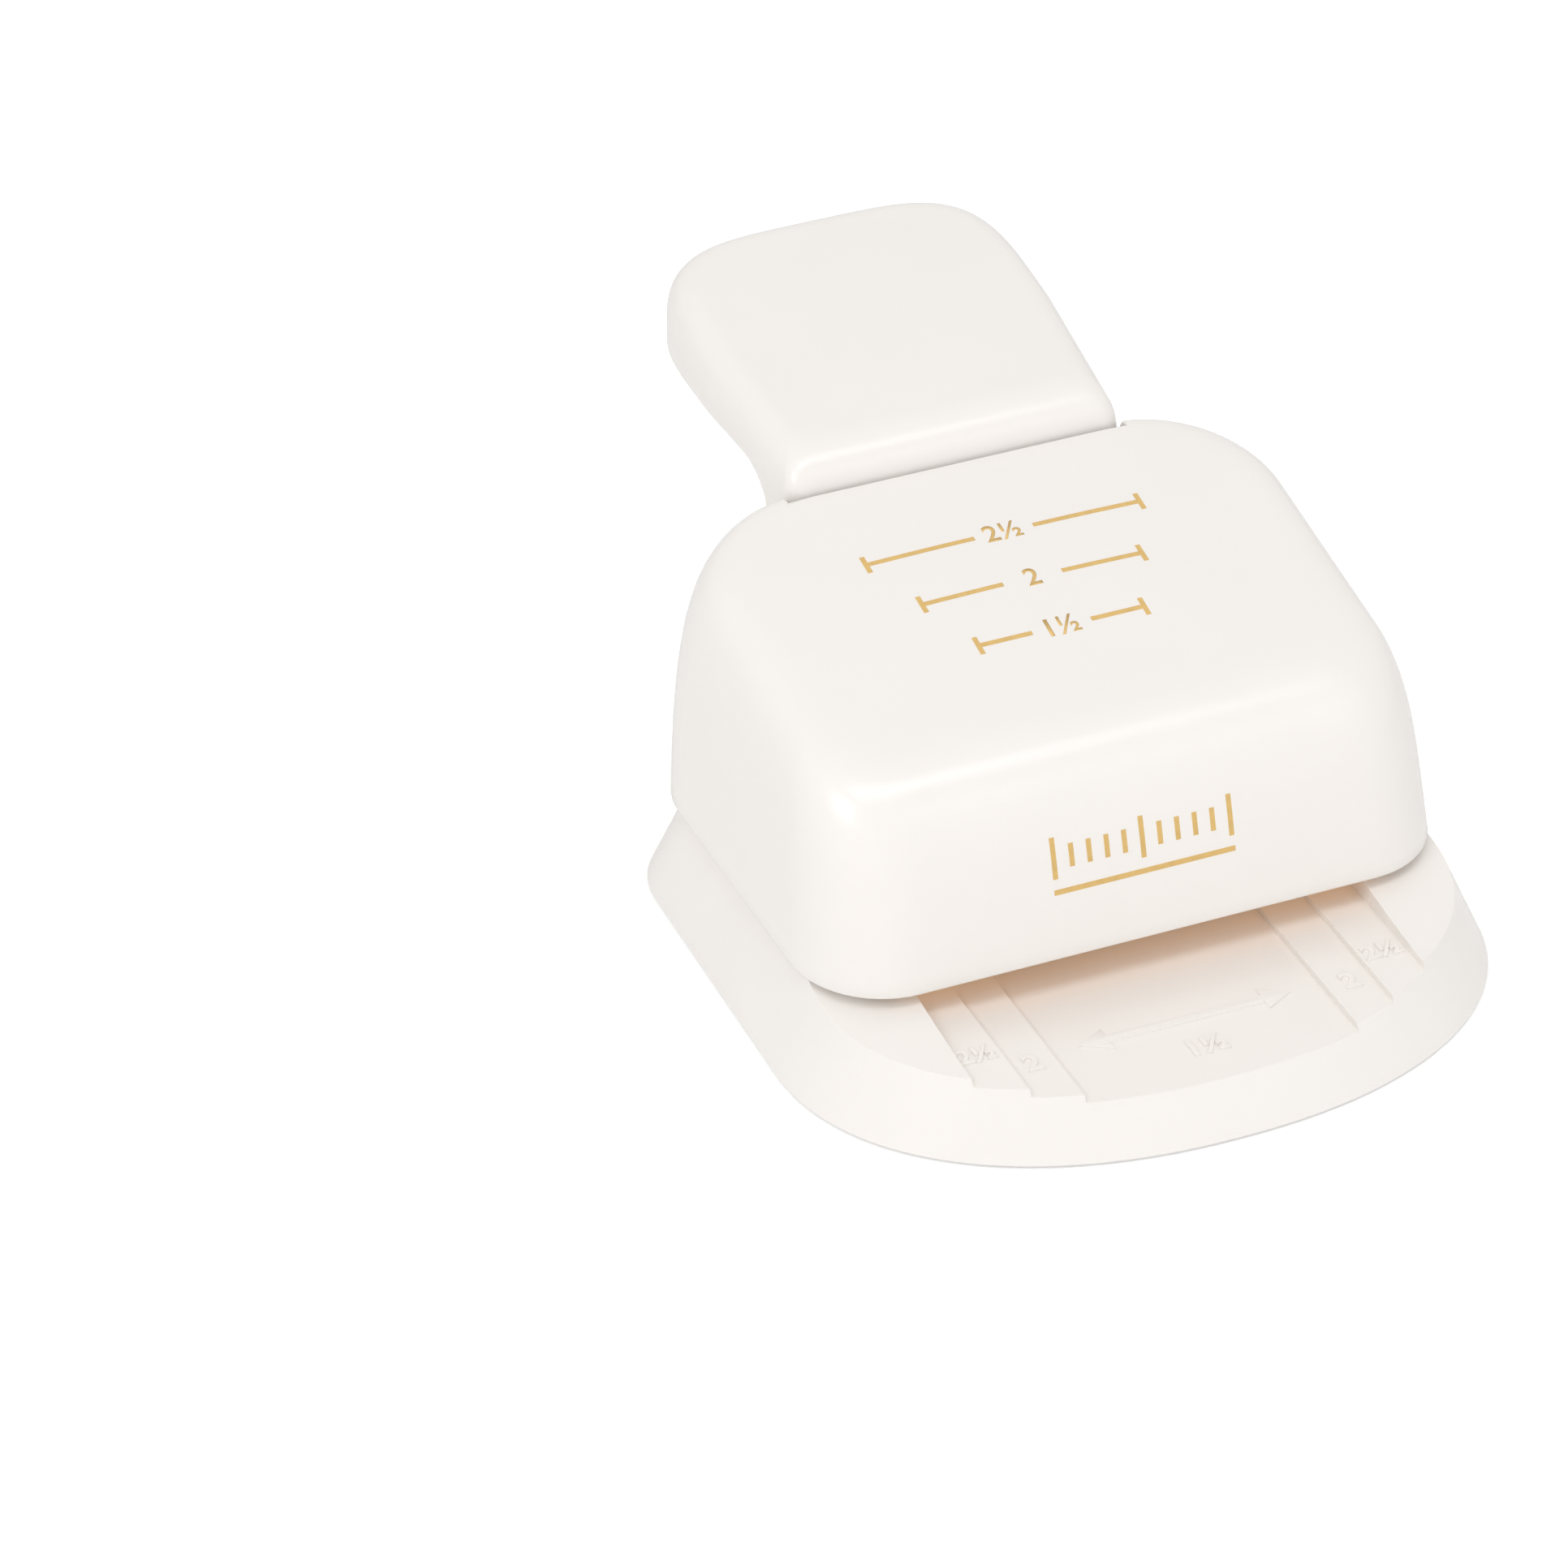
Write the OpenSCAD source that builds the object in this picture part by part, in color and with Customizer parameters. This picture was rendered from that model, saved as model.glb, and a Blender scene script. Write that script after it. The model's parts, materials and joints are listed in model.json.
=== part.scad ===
// Desk label punch: a stepped paper table, a soft rounded head and a rear press lever.
// A strip slides in from the front, and the lever drives two cutters through it into a die.
// Millimetres. +X right, +Y back, +Z up. Origin at the bottom centre of the whole box.

/* [Base] */
// Width of the base on the table top
base_w = 97.5; // [94:0.5:110]
// Depth of the base on the table top
base_d = 92; // [90:1:110]
// Depth of the rounded front half of the base
base_bow = 35.5; // [30:0.5:45]
// Squareness of the rounded front, 2 is an ellipse
base_front_power = 2.18; // [2:0.02:3]
// Radius of the rear corners of the base
base_corner_r = 14; // [6:0.5:20]
// How far each side leans in up to the seam
base_side_lean = 4.4; // [2:0.1:6]
// How far the front leans in up to the seam
base_front_lean = 7.9; // [4:0.1:10]
// How far the rear leans in up to the seam
base_rear_lean = 1.8; // [0:0.1:3]
// Wall of the moulded base
base_wall = 3; // [2:0.1:4]
// Width of the base's rim beside the cutting stack, from the edge of the head
pocket_lip = 3; // [2.6:0.1:5]
// Height of the top of the base under the head
seam_z = 12.6; // [12:0.1:14]
// How far the rubber feet stand proud of the base
foot_proud = 0.5; // [0.3:0.1:1]
// Diameter of a rubber foot
foot_d = 8; // [6:0.5:9]

/* [Table] */
// Height of the lowest channel floor
floor_z = 7; // [6.5:0.1:7.5]
// Height of each channel step
step_h = 0.9; // [0.5:0.05:1.1]
// Width of the small paper strip
strip_small_w = 38.1; // [30:0.1:42]
// Width of the medium paper strip
strip_medium_w = 50.8; // [44:0.1:54]
// Width of the large paper strip
strip_large_w = 63.5; // [56:0.1:71]
// Play of a strip in its channel on each side
strip_play = 0.2; // [0.1:0.05:0.5]

/* [Head] */
// Width of the head at its lower edge
head_w = 90; // [86:0.5:94]
// Depth of the head at its lower edge
head_d = 62.5; // [60:0.5:68]
// Distance from the front of the base to the front of the head
head_setback = 28; // [24:0.5:32]
// Gap of the seam between base and head
seam_gap = 0.5; // [0.2:0.1:1]
// Height of the sloping head top above its front edge
head_top_z = 37.6; // [36:0.2:44]
// Rise of the head top per millimetre towards the rear
head_top_rise = 0.21; // [0.15:0.01:0.26]
// Corner radius of the head at its lower edge
head_corner_r = 12.5; // [8:0.5:16]
// Lean of the sides of the head up to the top
head_side_lean = 1.9; // [0.5:0.1:3]
// Lean of the front of the head up to the top
head_front_lean = 6.1; // [3:0.1:8]
// Lean of the rear of the head up to the top
head_rear_lean = 0.8; // [0:0.1:2]
// Reach of the rounded top edge over the sides
head_side_round = 9.6; // [6:0.2:12]
// Reach of the rounded top edge over the front
head_front_round = 13.5; // [8:0.5:15]
// Reach of the rounded top edge over the rear
head_rear_round = 4; // [3:0.2:6]
// Wall of the head
head_wall = 2.5; // [2:0.1:3]

/* [Lever] */
// Distance from the rear of the head to the rear end of the lever
lever_overhang = 48.5; // [44:0.5:58]
// Half width of the lever at its front
lever_front_hw = 23.2; // [22:0.1:25]
// Half width of the lever at its rear
lever_rear_hw = 24.5; // [23.5:0.1:27]
// Depth of the rounded rear end of the lever
lever_round_d = 26; // [20:0.5:32]
// Squareness of the rounded rear end
lever_round_power = 3.4; // [2.5:0.1:4]
// Height of the lever top at its front face
lever_top_z = 55; // [54:0.2:58]
// Rise of the lever top per millimetre towards the rear
lever_top_rise = 0.155; // [0.12:0.005:0.2]
// Height of the lower edge of the lever skirt at its front
skirt_z = 49.2; // [48.5:0.1:50]
// Rise of the lower edge of the skirt per millimetre
skirt_rise = 0.038; // [0.02:0.002:0.05]
// Reach of the rounded top edge of the lever
lever_round = 4.2; // [3:0.2:5]
// Wall of the lever moulding
lever_wall = 2.6; // [2:0.1:3]
// Depth of the neck, front to back
neck_d = 11.3; // [10.5:0.1:13]
// Reach of the neck below the skirt
neck_drop = 13.2; // [11:0.2:14]
// Gap between the lever and the cut in the head
notch_gap = 1.2; // [0.8:0.1:2]
// Side gap between the neck and the cut in the head
notch_side_gap = 1.8; // [1:0.1:3]

/* [Cutting stack] */
// Thickness of the die plate
die_t = 2.4; // [2:0.1:2.6]
// Depth of the die face below the lowest channel floor
die_drop = 0.2; // [0.1:0.05:0.4]
// Height of the paper gap above the die
paper_gap = 4.8; // [4.5:0.1:5.5]
// Thickness of the stripper plate
stripper_t = 3; // [2.4:0.1:3.6]
// Rest height of the cutters above the underside of the stripper
cutter_hide = 0.3; // [0.2:0.05:0.6]
// Depth of the cutters in the die at full press
bite = 1.5; // [1:0.1:2]
// Clearance round a cutter in the die and the stripper
cutter_play = 0.15; // [0.1:0.01:0.25]
// Overlap of the end cutter past the edges of the large strip
cutter_overlap = 0.8; // [0.4:0.1:1]
// Drop of the label's round end from its middle to the small strip's edge
label_sagitta = 7; // [4:0.1:8]
// Drop of each scallop beside the label's round end
label_scallop = 3.2; // [2:0.1:4]
// Depth of the end cutter at the middle of the label
end_cutter_d = 6; // [4:0.5:6.5]
// Length of the hang slot
hang_slot_l = 28; // [22:0.5:34]
// Radius of the ends of the hang slot
hang_slot_r = 2; // [1.8:0.1:2.4]
// Rise of the hang slot's rear edge at its middle
hang_slot_peak = 2.8; // [1:0.1:4]
// Distance from the label's end to the middle of the hang slot
hang_slot_inset = 16.5; // [13:0.5:17]

/* [Press] */
// Distance from the front of the head to the lever pivot
pivot_setback = 13.6; // [13.4:0.1:14.4]
// Reach from the pivot to the press noses
nose_reach = 23; // [22:0.5:25]
// Radius of a press nose
nose_r = 5; // [4:0.2:6]
// Gap between a press nose and its pad
press_gap = 0.15; // [0.1:0.05:0.3]
// Diameter of the pivot pin
pivot_d = 5; // [4:0.2:6]
// Radial clearance of a turning or sliding bush
bush_play = 0.04; // [0.02:0.01:0.08]
// Wall of a bush
bush_wall = 1.4; // [1:0.1:1.6]
// Thickness of a steel lever arm
arm_t = 3; // [2.5:0.1:3.2]
// Half height of a steel lever arm
arm_hh = 4; // [3.5:0.1:4.4]
// Thickness of a pivot bracket
bracket_t = 3; // [2:0.1:3.5]
// Thickness of the punch carriage
carriage_t = 4.5; // [4:0.1:5]
// Clearance under the carriage at full press
stroke_clear = 0.6; // [0.4:0.1:1]
// Thickness of a press pad
pad_t = 1.5; // [1:0.1:2]
// Diameter of a guide post
post_d = 6; // [5:0.2:6.4]
// Outer diameter of a carriage ear
ear_d = 12; // [11.4:0.1:12.6]
// Length of a return spring at rest
spring_l = 15; // [14:0.5:16]
// Wire diameter of a return spring
spring_wire = 1; // [0.8:0.1:1.1]
// Turns of a return spring
spring_turns = 6; // [5:0.5:7]

/* [Fasteners] */
// Diameter of the cover screws
cover_screw_d = 3; // [2.5:0.1:3.5]
// Diameter of a cover boss
boss_d = 8; // [7:0.2:8.4]
// Diameter of the small machine screws
screw_d = 3; // [2.5:0.1:3.2]
// Play of a screw or a pin in its hole
screw_play = 0.04; // [0.02:0.01:0.1]

/* [Hidden] */
$fn = 48;

// Places along the depth, from the overall box
total_d = head_setback + head_d + lever_overhang;
front_y = -total_d / 2;
base_rear_y = front_y + base_d;
base_mid_y = front_y + base_bow;
head_front_y = front_y + head_setback;
head_rear_y = head_front_y + head_d;
notch_y = head_rear_y - head_wall;
lever_front_y = notch_y + notch_gap;
lever_rear_y = total_d / 2;
lever_round_y = lever_rear_y - lever_round_d;
neck_rear_y = lever_front_y + neck_d;
pivot_y = head_front_y + pivot_setback;

// Heights, stacked from the table top upwards
rim_z = foot_proud;
plateau_z = floor_z + 3 * step_h;
head_z = seam_z + seam_gap;
die_top_z = floor_z - die_drop;
die_z = die_top_z - die_t;
stripper_z = die_top_z + paper_gap;
stripper_top_z = stripper_z + stripper_t;
cutter_z = stripper_z + cutter_hide;
travel = cutter_hide + paper_gap + bite;
carriage_z = stripper_top_z + travel + stroke_clear;
carriage_top_z = carriage_z + carriage_t;
pad_top_z = carriage_top_z + pad_t;
nose_z = pad_top_z + press_gap + nose_r;
pivot_z = nose_z - travel / 2;
rest_angle = asin(travel / 2 / nose_reach);
nose_y = pivot_y + nose_reach * cos(rest_angle);
spring_top_z = stripper_top_z + spring_l;
ear_wall = 2.2;
ear_top_z = spring_top_z + ear_wall;

// Base details
base_frame_t = 2;
base_deck_t = 2.4;
cut = 1;
skim = 0.01;
far = 60;
table_rise_d = 16.5;
pocket_rear_lip = 3.5;
pocket_hw = head_w / 2 - pocket_lip;
pocket_rear_y = head_rear_y - pocket_rear_lip;
pocket_wall = 2;
foot_t = 2;
foot_boss_wall = 2;
foot_side_in = 14;
foot_front_in = 20;
foot_to_boss = 10;
fit_gap = 0.2;

// Cutting stack plan
slot_room = 0.3;
slot_hw = strip_large_w / 2 + strip_play + cutter_overlap + cutter_play + slot_room;
die_side_gap = 0.5;
die_hw = pocket_hw - die_side_gap;
boss_front_in = 8.5;
boss_rear_in = 6.5;
cover_boss_x = head_w / 2 - boss_d;
boss_front_y = head_front_y + boss_front_in;
boss_rear_y = head_rear_y - boss_rear_in;
die_front_gap = 2;
die_rear_gap = 0.5;
die_front_y = boss_front_y + boss_d / 2 + die_front_gap;
die_rear_y = boss_rear_y - boss_d / 2 - die_rear_gap;
stop_d = 3;
stop_gap = 2;
end_rear_y = die_rear_y - stop_d - stop_gap;
label_end_y = end_rear_y - end_cutter_d;
hang_slot_y = label_end_y - hang_slot_inset;
label_corner_y = label_end_y - label_sagitta - 2 * label_scallop;
spacer_x = (slot_hw + die_hw) / 2;
stack_front_in = 4;
stack_rear_in = 5;
stack_front_y = die_front_y + stack_front_in;
stack_rear_y = die_rear_y - stack_rear_in;

// Press plan
bracket_d = 5.5;
bracket_rear_y = die_front_y + bracket_d;
bracket_x = 12.5;
bracket_foot_w = 7.5;
arm_gap = 1.5;
arm_x = bracket_x + bracket_t + arm_gap;
eye_wall = 2.1;
eye_r = pivot_d / 2 + eye_wall;
carriage_front_gap = 1;
carriage_front_y = bracket_rear_y + carriage_front_gap;
carriage_tail = 2;
carriage_rear_y = end_rear_y + carriage_tail;
ear_gap = 0.7;
post_x = head_w / 2 - head_side_lean - head_wall - ear_gap - ear_d / 2;
ear_pocket_wall = 0.8;
ear_pocket_d = ear_d - 2 * ear_pocket_wall;
spring_to_post = 0.7;
spring_r = post_d / 2 + spring_to_post + spring_wire / 2;
spring_to_cutter = 0.4;
post_y = label_corner_y - spring_to_cutter - spring_r - spring_wire / 2;
pin_tail = 2.2;
pin_reach = arm_x + arm_t + pin_tail;
clip_t = 0.8;
arm_knee_y = lever_front_y + neck_d / 2;
arm_neck_gap = 0.2;
arm_tail_in = 11;
pin_d = 4;
tail_pin_d = 3;
tail_pin_in = 15;
plate_t = 1.8;
plate_lip = 0.2;
arm_plate_gap = 0.4;
arm_sole = plate_lip + plate_t + arm_plate_gap;
arm_lean = tan(rest_angle);
window_room = 2;
neck_window_z = pivot_z + (lever_front_y - pivot_y) * arm_lean + arm_hh + window_room;
notch_sill = 3.2;
notch_floor_z = head_z + notch_sill;
handle_screw_in = 12;
handle_screw_ys = [neck_rear_y + handle_screw_in, lever_rear_y - handle_screw_in];

// Colours of the finishes
cream = [0.93, 0.9, 0.86];
steel = [0.66, 0.67, 0.69];
tool_steel = [0.5, 0.51, 0.53];
alloy = [0.74, 0.75, 0.77];
brass = [0.8, 0.64, 0.3];
rubber = [0.32, 0.31, 0.3];
nylon = [0.86, 0.87, 0.84];

// Shape helpers
function signed_pow(v, p) = sign(v) * pow(abs(v), p);
function super_arc(hw, y, d, power, a0, a1, steps) = [
    for (i = [0:steps])
        let (a = a0 + (a1 - a0) * i / steps)
        [hw * signed_pow(cos(a), 2 / power), y + d * signed_pow(sin(a), 2 / power)]
];
function corner_arc(x, y, r, a0, steps = 6) = [
    for (i = [0:steps]) let (a = a0 + 90 * i / steps) [x + r * cos(a), y + r * sin(a)]
];
function rounded_box(hw, y0, y1, r) = concat(
    corner_arc(hw - r, y1 - r, r, 0), corner_arc(r - hw, y1 - r, r, 90),
    corner_arc(r - hw, y0 + r, r, 180), corner_arc(hw - r, y0 + r, r, 270));
// Share of a rounded edge's reach at height share k
function rounding(k, power) = 1 - pow(1 - pow(k, power), 1 / power);
function lift(outline, z) = [for (p = outline) [p[0], p[1], z]];

// Solid through a stack of outlines that have the same number of points
module loft(sections) {
    n = len(sections[0]);
    m = len(sections);
    sides = [
        for (j = [0:m - 2]) for (i = [0:n - 1])
            let (a = j * n + i, b = j * n + (i + 1) % n)
            each [[a, a + n, b + n], [a, b + n, b]]
    ];
    floor_face = [for (i = [0:n - 1]) i];
    top_face = [for (i = [n - 1:-1:0]) (m - 1) * n + i];
    polyhedron([for (s = sections) each s], concat(sides, [floor_face, top_face]));
}

module both_sides(x) {
    for (side = [-1, 1]) translate([side * x, 0, 0]) children();
}

// A block given by its low and high corners
module block(low, high) {
    translate(low) cube(high - low);
}

// An outline of [y, z] points extruded along X from x0 to x1
module side_plate(outline, x0, x1) {
    translate([x0, 0, 0]) rotate([90, 0, 90]) linear_extrude(x1 - x0) polygon(outline);
}

// A round bar along X
module cross_bar(y, z, r, x0, x1) {
    translate([x0, y, z]) rotate([0, 90, 0]) cylinder(r = r, h = x1 - x0);
}

// A machine screw with its head down at z = 0, shank upwards, with a cross recess
module screw_up(shank_d, head_d, head_h, length) {
    recess_w = shank_d / 4;
    recess_l = head_d * 0.55;
    recess_h = head_h * 0.6;
    difference() {
        union() {
            cylinder(d = head_d, h = head_h);
            cylinder(d = shank_d, h = head_h + length);
        }
        block([-recess_l / 2, -recess_w / 2, -cut], [recess_l / 2, recess_w / 2, recess_h]);
        block([-recess_w / 2, -recess_l / 2, -cut], [recess_w / 2, recess_l / 2, recess_h]);
    }
}

module screw_down(shank_d, head_d, head_h, length) {
    mirror([0, 0, 1]) screw_up(shank_d, head_d, head_h, length);
}

// Base
base_taper = 0.9;
function base_outline(side_in, front_in, rear_in) =
    let (hw = base_w / 2 - side_in, y1 = base_rear_y - rear_in, r = base_corner_r)
    concat(
        corner_arc(hw - base_taper - r, y1 - r, r, 0),
        corner_arc(r + base_taper - hw, y1 - r, r, 90),
        super_arc(hw, base_mid_y, base_bow - front_in, base_front_power, 180, 360, 36));

module base_outer() {
    loft([
        lift(base_outline(0, 0, 0), rim_z),
        lift(base_outline(base_side_lean, base_front_lean, base_rear_lean), seam_z)
    ]);
}

// The open table at the front rises to the seam beside the head
module table_cut() {
    side_plate([
        [front_y - cut, plateau_z], [head_front_y, plateau_z],
        [head_front_y + table_rise_d, seam_z + skim], [head_front_y + table_rise_d, far],
        [front_y - cut, far]
    ], -base_w, base_w);
}

module channel_cut(strip_w, z) {
    hw = strip_w / 2 + strip_play;
    block([-hw, front_y - cut, z], [hw, die_front_y + cut, far]);
}

module cover_boss_places() {
    for (y = [boss_front_y, boss_rear_y]) both_sides(cover_boss_x) translate([0, y, 0]) children();
}

foot_places = [
    [base_w / 2 - foot_side_in, front_y + foot_front_in],
    [cover_boss_x - foot_to_boss, boss_rear_y + foot_proud]
];
module foot_spots() {
    for (p = foot_places) both_sides(p[0]) translate([0, p[1], 0]) children();
}

module stack_screw_places() {
    for (y = [stack_front_y, stack_rear_y]) both_sides(spacer_x) translate([0, y, 0]) children();
}

frame_z = die_z - base_frame_t;
deck_z = floor_z - base_deck_t;
chip_room = 0.3;
chip_in = 1;
chip_hw = slot_hw + chip_room;
chip_front_y = stack_front_y + chip_in;
chip_rear_y = die_rear_y - stop_d + chip_in;
module base_hollow() {
    difference() {
        translate([0, 0, rim_z - cut]) linear_extrude(deck_z - rim_z + cut)
            polygon(base_outline(base_side_lean / 2 + base_wall, base_front_lean / 2 + base_wall,
                base_rear_lean / 2 + base_wall));
        block([-base_w, die_front_y - base_wall, frame_z], [base_w, die_rear_y + base_wall, far]);
        foot_spots() cylinder(d = foot_d + 2 * foot_boss_wall, h = far);
    }
}

// Room for the cutting stack under the head, inside the rim of the base
module stack_pocket() {
    intersection() {
        block([-pocket_hw, head_front_y, plateau_z], [pocket_hw, pocket_rear_y, far]);
        translate([0, 0, plateau_z - cut]) linear_extrude(far)
            polygon(base_outline(base_side_lean + pocket_wall, base_front_lean + pocket_wall,
                base_rear_lean + pocket_wall));
    }
}

cover_head_d = 2 * cover_screw_d;
cover_head_h = 1.6;
cover_head_in = 1;
cover_head_z = rim_z + cover_head_in;
module base_shell() {
    color(cream) difference() {
        union() {
            difference() {
                base_outer();
                base_hollow();
                table_cut();
                channel_cut(strip_large_w, plateau_z - step_h);
                channel_cut(strip_medium_w, plateau_z - 2 * step_h);
                channel_cut(strip_small_w, floor_z);
                stack_pocket();
                block([-die_hw - fit_gap, die_front_y - fit_gap, die_z],
                    [die_hw + fit_gap, die_rear_y + fit_gap, far]);
            }
            cover_boss_places() translate([0, 0, cover_head_z])
                cylinder(d = boss_d, h = seam_z - cover_head_z);
        }
        block([-chip_hw, chip_front_y, rim_z - cut], [chip_hw, chip_rear_y, far]);
        cover_boss_places() {
            translate([0, 0, rim_z - cut]) cylinder(d = cover_screw_d + 2 * fit_gap, h = far);
            translate([0, 0, rim_z - cut])
                cylinder(d = cover_head_d + 2 * fit_gap, h = cover_head_z + cover_head_h - rim_z + cut);
        }
        foot_spots() translate([0, 0, rim_z - cut]) cylinder(d = foot_d, h = foot_t - rim_z + cut);
        stack_screw_places() translate([0, 0, rim_z - cut]) {
            cylinder(d = screw_d + 2 * fit_gap, h = far);
            cylinder(d = screw_head_d + 2 * fit_gap, h = frame_z - rim_z + cut);
        }
    }
}

module rubber_feet() {
    color(rubber) foot_spots() cylinder(d = foot_d - 2 * screw_play, h = foot_t);
}

// Cutting stack
// Front edge of the end cutter: a round label end with two scallops on each side
round_steps = 10;
scallop_steps = 5;
end_hw = strip_large_w / 2 + strip_play + cutter_overlap;
label_r = (pow(strip_small_w / 2, 2) + pow(label_sagitta, 2)) / (2 * label_sagitta);
label_a = asin(strip_small_w / 2 / label_r);
function round_run(play) = [
    for (i = [-round_steps:round_steps])
        let (a = label_a * i / round_steps)
        [(label_r - play) * sin(a), label_end_y - label_r + (label_r - play) * cos(a)]
];
// A quarter ellipse from the foot of the last run at x0 down to x1, with play square to it
function scallop_run(x0, x1, y, play) = [
    for (i = [1:scallop_steps])
        let (a = 90 * i / scallop_steps, side = [label_scallop * sin(a), (x1 - x0) * cos(a)],
            out = i < scallop_steps ? play / norm(side) * side : [play, play])
        [x0 + (x1 - x0) * sin(a) - out[0], y - label_scallop * (1 - cos(a)) - out[1]]
];
function right_runs(play) = concat(
    scallop_run(strip_small_w / 2, strip_medium_w / 2, label_end_y - label_sagitta, play),
    scallop_run(strip_medium_w / 2, strip_large_w / 2, label_end_y - label_sagitta - label_scallop, play),
    [[end_hw + play, label_corner_y - play]]);
function mirrored(run) = [for (i = [len(run) - 1:-1:0]) [-run[i][0], run[i][1]]];
function end_outline(play) =
    let (right = right_runs(play))
    concat(mirrored(right), round_run(play), right,
        [[end_hw + play, end_rear_y + play], [-end_hw - play, end_rear_y + play]]);

// Hang slot: round ends, a straight front edge and a low peak at the rear
module hang_slot(play) {
    r = hang_slot_r + play;
    end_x = hang_slot_l / 2 - hang_slot_r;
    translate([0, hang_slot_y]) {
        polygon([[-end_x, -r], [end_x, -r], [end_x, r], [0, r + hang_slot_peak], [-end_x, r]]);
        both_sides(end_x) circle(r);
    }
}

module cutter_holes(z, h) {
    translate([0, 0, z - cut]) linear_extrude(h + 2 * cut) {
        polygon(end_outline(cutter_play));
        hang_slot(cutter_play);
    }
}

module stack_plate(z, t) {
    block([-die_hw, die_front_y, z], [die_hw, die_rear_y, z + t]);
}

module die_plate() {
    color(tool_steel) difference() {
        stack_plate(die_z, die_t);
        cutter_holes(die_z, die_t);
        stack_screw_places() translate([0, 0, die_z - cut])
            cylinder(d = screw_d + 2 * fit_gap, h = die_t + 2 * cut);
    }
}

module spacer(side) {
    difference() {
        block([side > 0 ? slot_hw : -die_hw, die_front_y, die_top_z],
            [side > 0 ? die_hw : -slot_hw, die_rear_y, stripper_z]);
        stack_screw_places() translate([0, 0, die_top_z - cut])
            cylinder(d = screw_d + 2 * fit_gap, h = paper_gap + 2 * cut);
    }
}
module spacer_left() { color(alloy) spacer(-1); }
module spacer_right() { color(alloy) spacer(1); }

module paper_stop() {
    color(alloy) block([-slot_hw, die_rear_y - stop_d, die_top_z], [slot_hw, die_rear_y, stripper_z]);
}

post_spigot_d = post_d - 2;
module post_places() {
    both_sides(post_x) translate([0, post_y, 0]) children();
}

module bracket_screw_places() {
    both_sides(bracket_x - bracket_foot_w / 2)
        translate([0, (die_front_y + bracket_rear_y) / 2, 0]) children();
}

module stripper_plate() {
    color(alloy) difference() {
        stack_plate(stripper_z, stripper_t);
        cutter_holes(stripper_z, stripper_t);
        translate([0, 0, stripper_z - cut]) {
            stack_screw_places() cylinder(d = screw_d + 2 * screw_play, h = stripper_t + 2 * cut);
            post_places() cylinder(d = post_spigot_d + 2 * screw_play, h = stripper_t + 2 * cut);
            bracket_screw_places() cylinder(d = screw_d + 2 * screw_play, h = stripper_t + 2 * cut);
        }
    }
}

screw_head_h = 1.4;
screw_head_trim = 0.4;
screw_head_d = 2 * screw_d - screw_head_trim;
screw_end_in = 0.5;
module stack_screws() {
    color(steel) stack_screw_places() translate([0, 0, frame_z - screw_head_h])
        screw_up(screw_d, screw_head_d, screw_head_h, stripper_top_z - screw_end_in - frame_z);
}

// Guide posts and return springs
retainer_gap = 0.3;
retainer_t = 1.6;
retainer_lip = 1.5;
retainer_d = post_d + 2 * retainer_lip;
retainer_l = 5;
post_top_z = ear_top_z + retainer_gap;
module guide_post() {
    difference() {
        union() {
            translate([0, 0, stripper_top_z]) cylinder(d = post_d, h = post_top_z - stripper_top_z);
            translate([0, 0, stripper_z + screw_end_in]) cylinder(d = post_spigot_d, h = stripper_t);
        }
        translate([0, 0, post_top_z - retainer_l - cut]) cylinder(d = screw_d + 2 * screw_play, h = far);
    }
}
module guide_post_left() { color(steel) translate([-post_x, post_y, 0]) guide_post(); }
module guide_post_right() { color(steel) translate([post_x, post_y, 0]) guide_post(); }

module post_retainers() {
    color(steel) post_places() translate([0, 0, post_top_z + retainer_t])
        screw_down(screw_d, retainer_d, retainer_t, retainer_l);
}

// One unbroken tube wound round Z
spring_rings = 8;
spring_sides = 6;
spring_end_gap = 0.1;
spring_steps = round(spring_turns * spring_rings);
spring_start_z = spring_wire / 2 + spring_end_gap;
function spring_point(i) = [
    spring_r * cos(360 * i / spring_rings), spring_r * sin(360 * i / spring_rings),
    spring_start_z + (spring_l - 2 * spring_start_z) * i / spring_steps
];
// Least distance between points half a turn or more apart, less the wire
spring_gap = min([
    for (i = [0:spring_steps]) for (j = [i + spring_rings / 2:spring_steps])
        norm(spring_point(i) - spring_point(j))
]) - spring_wire;
echo(spring_gap_to_itself = spring_gap);
module return_spring() {
    steps = spring_steps;
    n = spring_sides;
    rings = [
        for (i = [0:steps])
            let (c = spring_point(i), a = 360 * i / spring_rings)
            [for (j = [0:n - 1])
                let (b = 360 * j / n, out = spring_wire / 2 * cos(b))
                [c[0] + out * cos(a), c[1] + out * sin(a), c[2] + spring_wire / 2 * sin(b)]]
    ];
    sides = [
        for (i = [0:steps - 1]) for (j = [0:n - 1])
            let (a = i * n + j, b = i * n + (j + 1) % n)
            each [[a, b, b + n], [a, b + n, a + n]]
    ];
    start_face = [for (j = [n - 1:-1:0]) j];
    end_face = [for (j = [0:n - 1]) steps * n + j];
    polyhedron([for (r = rings) each r], concat(sides, [start_face, end_face]));
}
module spring_at(x) {
    color(steel) translate([x, post_y, stripper_top_z]) return_spring();
}
module return_spring_left() { spring_at(-post_x); }
module return_spring_right() { spring_at(post_x); }

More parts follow.
